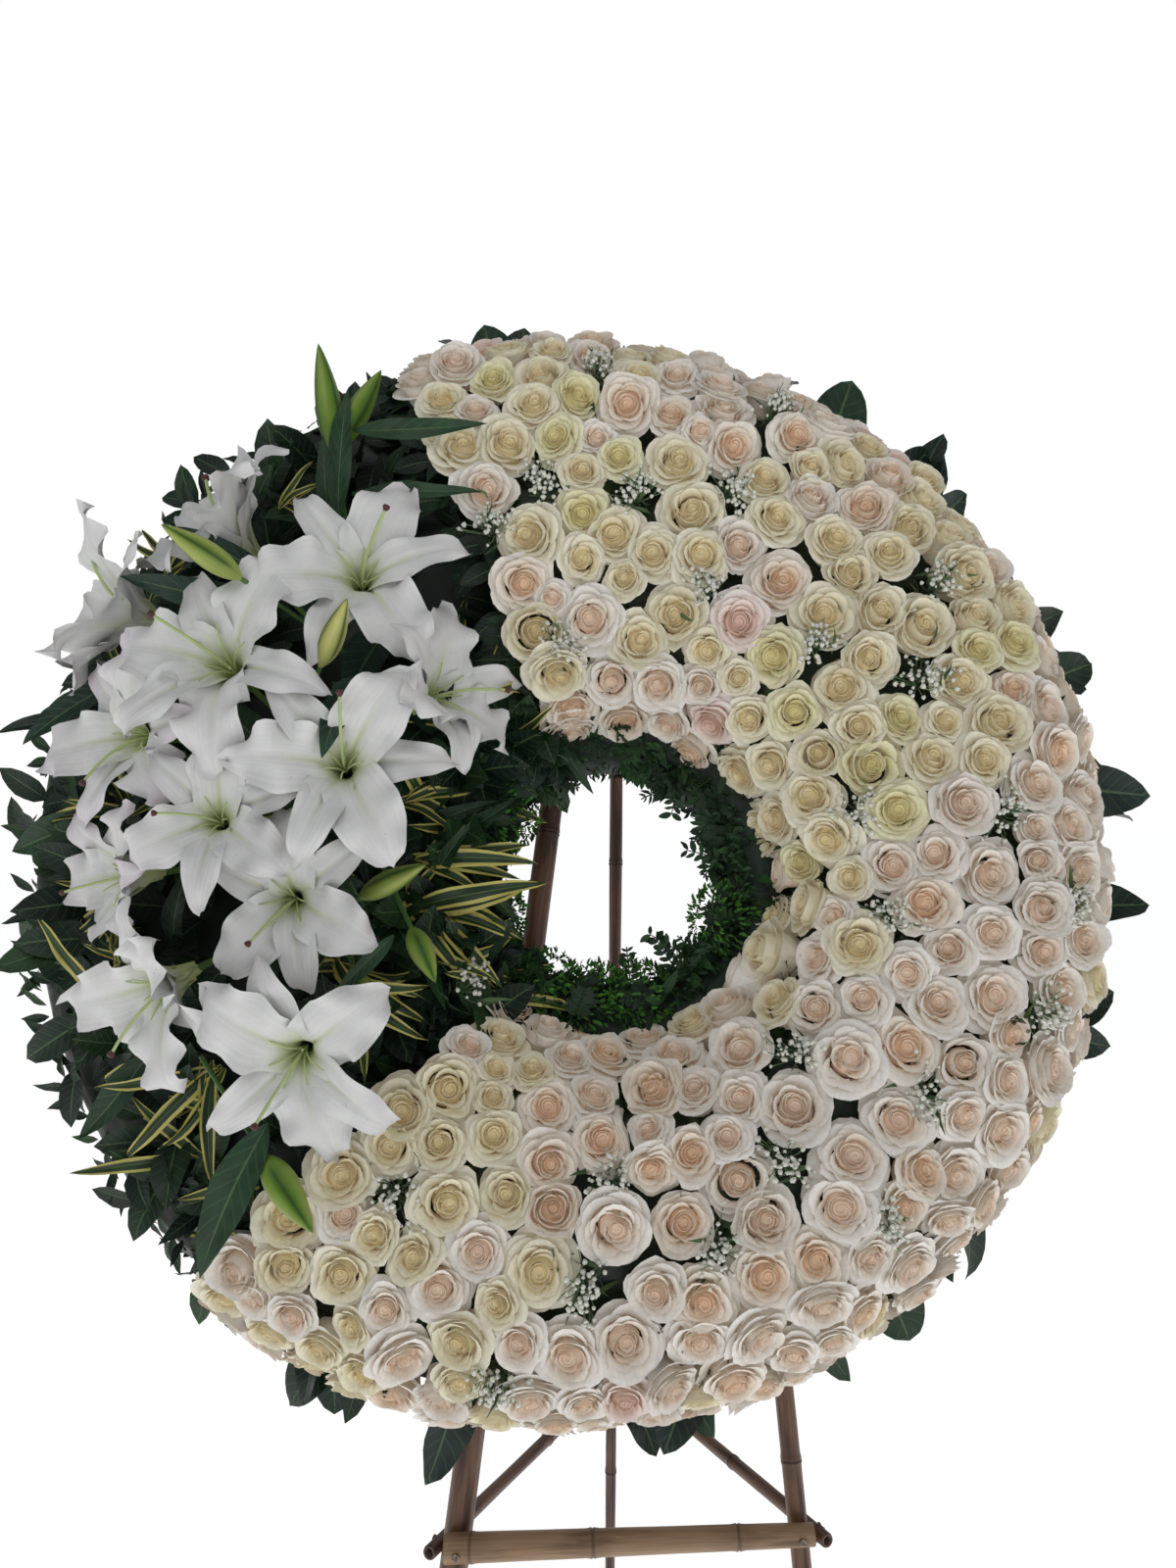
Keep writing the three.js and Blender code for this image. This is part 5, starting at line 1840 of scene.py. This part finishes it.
@dataclass(frozen=True)
class BambooPole:
    """One bamboo pole, made round the axis of its CAD node.

    Its knots are distances from its lower, left or front end, and a knot's profile is steps along
    the pole and how far it bulges there. Legs end at the ground; the other poles are open pipes.
    """

    node: str
    knots: tuple[float, ...]
    base: Colour
    stain: Colour
    stained: float = 0.5
    hollow: bool = False
    sides: int = 28
    ring_gap: float = 0.030
    knot_clear: float = 0.012
    wall: float = 0.003
    hollow_depth: float = 0.021
    knot_profile: Pairs = (
        (-0.0070, 0.00000), (-0.0040, 0.00035), (-0.0022, 0.00085), (-0.0010, 0.00090),
        (-0.0003, 0.00020), (0.0006, 0.00010), (0.0014, 0.00085), (0.0030, 0.00060),
        (0.0060, 0.00010), (0.0090, -0.0001),
    )

    def _axis(self) -> tuple[Array, Array, float, float]:
        """The pole's two ends and its radius at each, measured on the CAD node."""
        mesh = frame["nodes"][self.node].data
        points = np.empty(len(mesh.vertices) * 3)
        mesh.vertices.foreach_get("co", points)
        points = points.reshape(-1, 3)
        way = np.linalg.svd(points - points.mean(0), full_matrices=False)[2][0]
        way = way * np.sign(way[np.abs(way).argmax()])
        along = points @ way
        ends = []
        for edge in (along.min(), along.max()):
            close = points[np.abs(along - edge) < 0.004]
            ends.append(close.mean(0))
        way = unit(ends[1] - ends[0])
        radii = []
        for end in ends:
            close = points[np.abs((points - end) @ way) < 0.004] - end
            radii.append(float(np.linalg.norm(close - (close @ way)[:, None] * way, axis=1).max()))
        return ends[0], ends[1], radii[0], radii[1]

    def build(self) -> Piece:
        """Builds the pole."""
        start, end, first, last = self._axis()
        length = float(np.linalg.norm(end - start))
        way = (end - start) / length
        stations: list[tuple[float, float, float]] = []
        rings = np.arange(self.ring_gap, length - 0.02, self.ring_gap)
        for place in sorted({0.0015, length - 0.0015, *rings}):
            if all(abs(place - knot) > self.knot_clear for knot in self.knots):
                stations.append((place, 0.0, 0.0))
        for knot in self.knots:
            if 0.010 < knot < length - 0.010:
                for step, bulge in self.knot_profile:
                    stations.append((knot + step, bulge, 1.0 if abs(step) < 0.002 else 0.45))
        stations.sort()
        along, bulge, mark = (np.array(column) for column in zip(*stations))
        gap = np.abs(along[:, None] - np.array(self.knots)[None, :]).min(1)
        waist = -0.00035 * smooth(0.02, 0.12, gap)
        radius = first + (last - first) * along / length + bulge + waist
        if self.hollow:
            inner, depth = first - self.wall, self.hollow_depth
            head = [(depth, 0.0), (depth, inner), (0.0, inner), (0.0, first - 0.0006)]
            inner = last - self.wall
            inmost = length - depth
            tail = [(length, last - 0.0006), (length, inner), (inmost, inner), (inmost, 0.0)]
        else:
            head = [(0.0, 0.0), (0.0, first - 0.0008)]
            tail = [(length, last - 0.0008), (length, 0.0)]
        along = np.concatenate([[p for p, _ in head], along, [p for p, _ in tail]])
        radius = np.concatenate([[r for _, r in head], radius, [r for _, r in tail]])
        mark = np.concatenate([np.full(len(head), 0.7), mark, np.full(len(tail), 0.7)])
        matrix = frames_on(way[None], np.zeros(1))[0]
        turn = np.linspace(0, TURN, self.sides + 1)[None, :]
        points = polar(turn, radius[:, None], along[:, None]) @ matrix.T + start
        points[:, -1] = points[:, 0]
        if not self.hollow:
            below = np.minimum(points[..., 2], 0.0)
            points = points - way * (below / way[2])[..., None]
        tint = np.broadcast_to(blend(self.base, self.stain, mark * 0.75)[:, None], points.shape)
        mesh = Patches("bamboo_" + self.node)
        mesh.add(points, tint)
        finish = BambooFinish("bamboo_" + self.node, tuple(way), self.stain, self.stained)
        return dress(mesh.build(None, finish.make()), "bamboo", self.node)


POLES = (
    BambooPole(
        "front_leg_left", (0.340, 0.630, 0.925, 1.226, 1.490), paint(0x72503A), paint(0x3A2019), 0.6
    ),
    BambooPole("front_leg_right", (0.24, 0.535, 0.83, 1.12, 1.42), paint(0x74523A), paint(0x3C241A), 0.5),
    BambooPole("rear_leg", (0.270, 0.560, 0.855, 1.150, 1.440), paint(0x64402C), paint(0x321812), 0.8),
    BambooPole("lower_crossbar", (0.027, 0.155, 0.307), paint(0x9A7C5C), paint(0x523A2A), 0.35, True),
    BambooPole("upper_crossbar", (0.070,), paint(0x8E6E48), paint(0x4E3624), 0.4, True),
    BambooPole("side_strut_left", (0.060, 0.290), paint(0x6E4C38), paint(0x3A221A), 0.5, True),
    BambooPole("side_strut_right", (0.015, 0.180), paint(0x70503A), paint(0x3C241C), 0.5, True),
)


@dataclass(frozen=True)
class CarriedOver:
    """CAD nodes that keep their own shape and only get a finish."""

    part: str
    finish: GrainyFinish

    def dress(self) -> None:
        """Puts the finish on every node that has the part's name in its own."""
        material = self.finish.make()
        for name, node in frame["nodes"].items():
            if self.part in name:
                for slot in node.material_slots:
                    slot.material = material


STEEL = GrainyFinish("nail_steel_dull", paint(0x8C8680), paint(0x5A4A40), 400.0, 0.45, 0.0001, metal=0.85)
BOARD = GrainyFinish("pressed_board", paint(0xE4E0D6), paint(0xC2BBAC), 60.0, 0.85, 0.0006, spots=260.0)
FOAM = GrainyFinish("wet_foam_green", paint(0x3F6B38), paint(0x24451F), 180.0, 0.95, 0.0012, spots=420.0)
CARRIED = (
    CarriedOver("nail", STEEL),
    CarriedOver("backing_board", BOARD),
    CarriedOver("foam_", FOAM),
)


# --- The studio ---


@dataclass(frozen=True)
class Lamp:
    """A square soft light that is aimed at a point."""

    name: str
    place: Point
    aim: Point
    size: float
    watts: float

    def hang(self) -> None:
        """Puts the light in its place."""
        light = bpy.data.lights.new(self.name, "AREA")
        light.energy, light.size = self.watts, self.size
        lamp = set_out(self.name, light)
        lamp.location = self.place
        way = Vector(self.aim) - Vector(self.place)
        lamp.rotation_euler = way.to_track_quat("-Z", "Y").to_euler()


@dataclass(frozen=True)
class Studio:
    """A white floor, soft lights and the camera."""

    slope: Slope
    camera_x: float = -0.034
    camera_y: float = -1.117
    eye: float = 1.25
    lens: float = 26.0
    floor_size: float = 60.0
    floor_glow: float = 0.80
    floor_tones: tuple[Colour, Colour] = ((0.86, 0.86, 0.85), (0.90, 0.90, 0.89))
    sky_glow: float = 0.22
    sky_tone: Colour = (0.95, 0.97, 1.0)
    lamps: tuple[Lamp, ...] = (
        Lamp("key", (-0.7, -2.4, 3.6), (0.1, 0.0, 1.1), 2.2, 17.5),
        Lamp("fill", (2.6, -2.0, 1.9), (0.1, 0.0, 1.1), 2.0, 6.0),
        Lamp("back", (0.6, 2.8, 2.9), (0.1, 0.0, 1.0), 2.2, 8.0),
    )

    def build(self) -> None:
        """Builds the floor, the lights and the camera."""
        scene = bpy.context.scene
        scene.view_settings.view_transform = "Standard"
        self._floor()
        self._sky(scene)
        for lamp in self.lamps:
            lamp.hang()
        shift = self.slope.shift
        lens = bpy.data.cameras.new("camera")
        lens.lens = self.lens
        camera = set_out("camera", lens)
        camera.location = (self.camera_x + shift[0], self.camera_y + shift[1], self.eye)
        camera.rotation_euler = (math.pi / 2, 0.0, 0.0)
        scene.camera = camera

    def _floor(self) -> None:
        """A wide floor that glows a little, so that it stays white."""
        half = self.floor_size / 2
        mesh = bpy.data.meshes.new("floor")
        corners = [(-half, -half, 0), (half, -half, 0), (half, half, 0), (-half, half, 0)]
        mesh.from_pydata(corners, [], [(0, 1, 2, 3)])
        shader = Shader(
            "floor_white",
            Roughness=0.9,
            Specular_IOR_Level=0.1,
            Emission_Strength=self.floor_glow,
            Emission_Color=(1.0, 1.0, 1.0),
        )
        grain = shader.noise(shader.here(), 40.0)
        colour = shader.mix(*self.floor_tones, grain)
        mesh.materials.append(shader.finish(colour))
        floor = set_out("floor", mesh)

    def _sky(self, scene: bpy.types.Scene) -> None:
        """White all round to look at, and a softer white to be lit by."""
        world = bpy.data.worlds.new("studio_air")
        scene.world = world
        world.use_nodes = True
        tree = world.node_tree
        tree.nodes.clear()
        seen, lit, path, mix, out = (
            tree.nodes.new("ShaderNode" + kind)
            for kind in ("Background", "Background", "LightPath", "MixShader", "OutputWorld")
        )
        seen.inputs["Strength"].default_value = 1.0
        seen.inputs["Color"].default_value = (1.0, 1.0, 1.0, 1.0)
        lit.inputs["Strength"].default_value = self.sky_glow
        lit.inputs["Color"].default_value = (*self.sky_tone, 1.0)
        tree.links.new(path.outputs["Is Camera Ray"], mix.inputs[0])
        tree.links.new(lit.outputs[0], mix.inputs[1])
        tree.links.new(seen.outputs[0], mix.inputs[2])
        tree.links.new(mix.outputs[0], out.inputs[0])


# --- The whole object ---


def main() -> None:
    """Builds the wreath on its easel, piece by piece."""
    logging.basicConfig(level=logging.INFO, format="%(message)s")
    slope = Slope.from_record()
    Studio(slope).build()
    # The rose petals give off a faint painted glow.
    petal = PetalFinish(
        "rose_petal_soft", 7.0, 0.0004, shade=0.07, rough=0.55, glow=0.10, painted_glow_strength=0.045
    ).make()
    shade_leaf = LeafFinish("shade_leaf").make()
    lily = PetalFinish(
        "lily_petal_white", 9.0, depth=0.0005, shade=0.05, rough=0.5, glow=0.08, specks=0.6
    ).make()
    stalk = PetalFinish("stalk_green", 3.0, depth=0.0003, shade=0.1, rough=0.45, glow=0.0).make()
    bud = PetalFinish("bud_green", 12.0, depth=0.0005, shade=0.1, rough=0.4, glow=0.05).make()
    breath = PetalFinish("breath_white", 4.0, depth=0.0003, shade=0.06, rough=0.6, glow=0.1).make()
    leaf = LeafFinish("bed_leaf").make()
    fern = LeafFinish("fern_leaf", 0.55, paint(0x3E5E38), side_veins=5.0, relief=0.0003).make()
    moss = LeafFinish("moss_green", 0.7, paint(0x5C8A34), side_veins=4.0, relief=0.0003).make()
    striped = LeafFinish(
        "striped_leaf", margin=paint(0xC9BF6A), rib=paint(0x6F8448), side_veins=0.0
    ).make()

    roses = RoseField(slope)
    log.info("%d roses on %.2f square metres", len(roses.points), roses.area)
    RoseBanks(slope, roses).build(petal, shade_leaf)
    for flower in LILIES:
        flower.build(lily, stalk, slope)
    for shut in BUDS:
        shut.build(bud, slope)
    for spray in SPRAYS:
        spray.build(striped, slope)
    LongLeaves().build(leaf, slope)
    FoliageBed(slope).build(leaf, striped)
    FernCollar(slope).build(fern, moss)
    LeafFringe(slope).build(leaf)
    BabysBreath(slope).build(breath, stalk)
    for pole in POLES:
        pole.build()
    for kept in CARRIED:
        kept.dress()


if __name__ == "__main__":
    main()
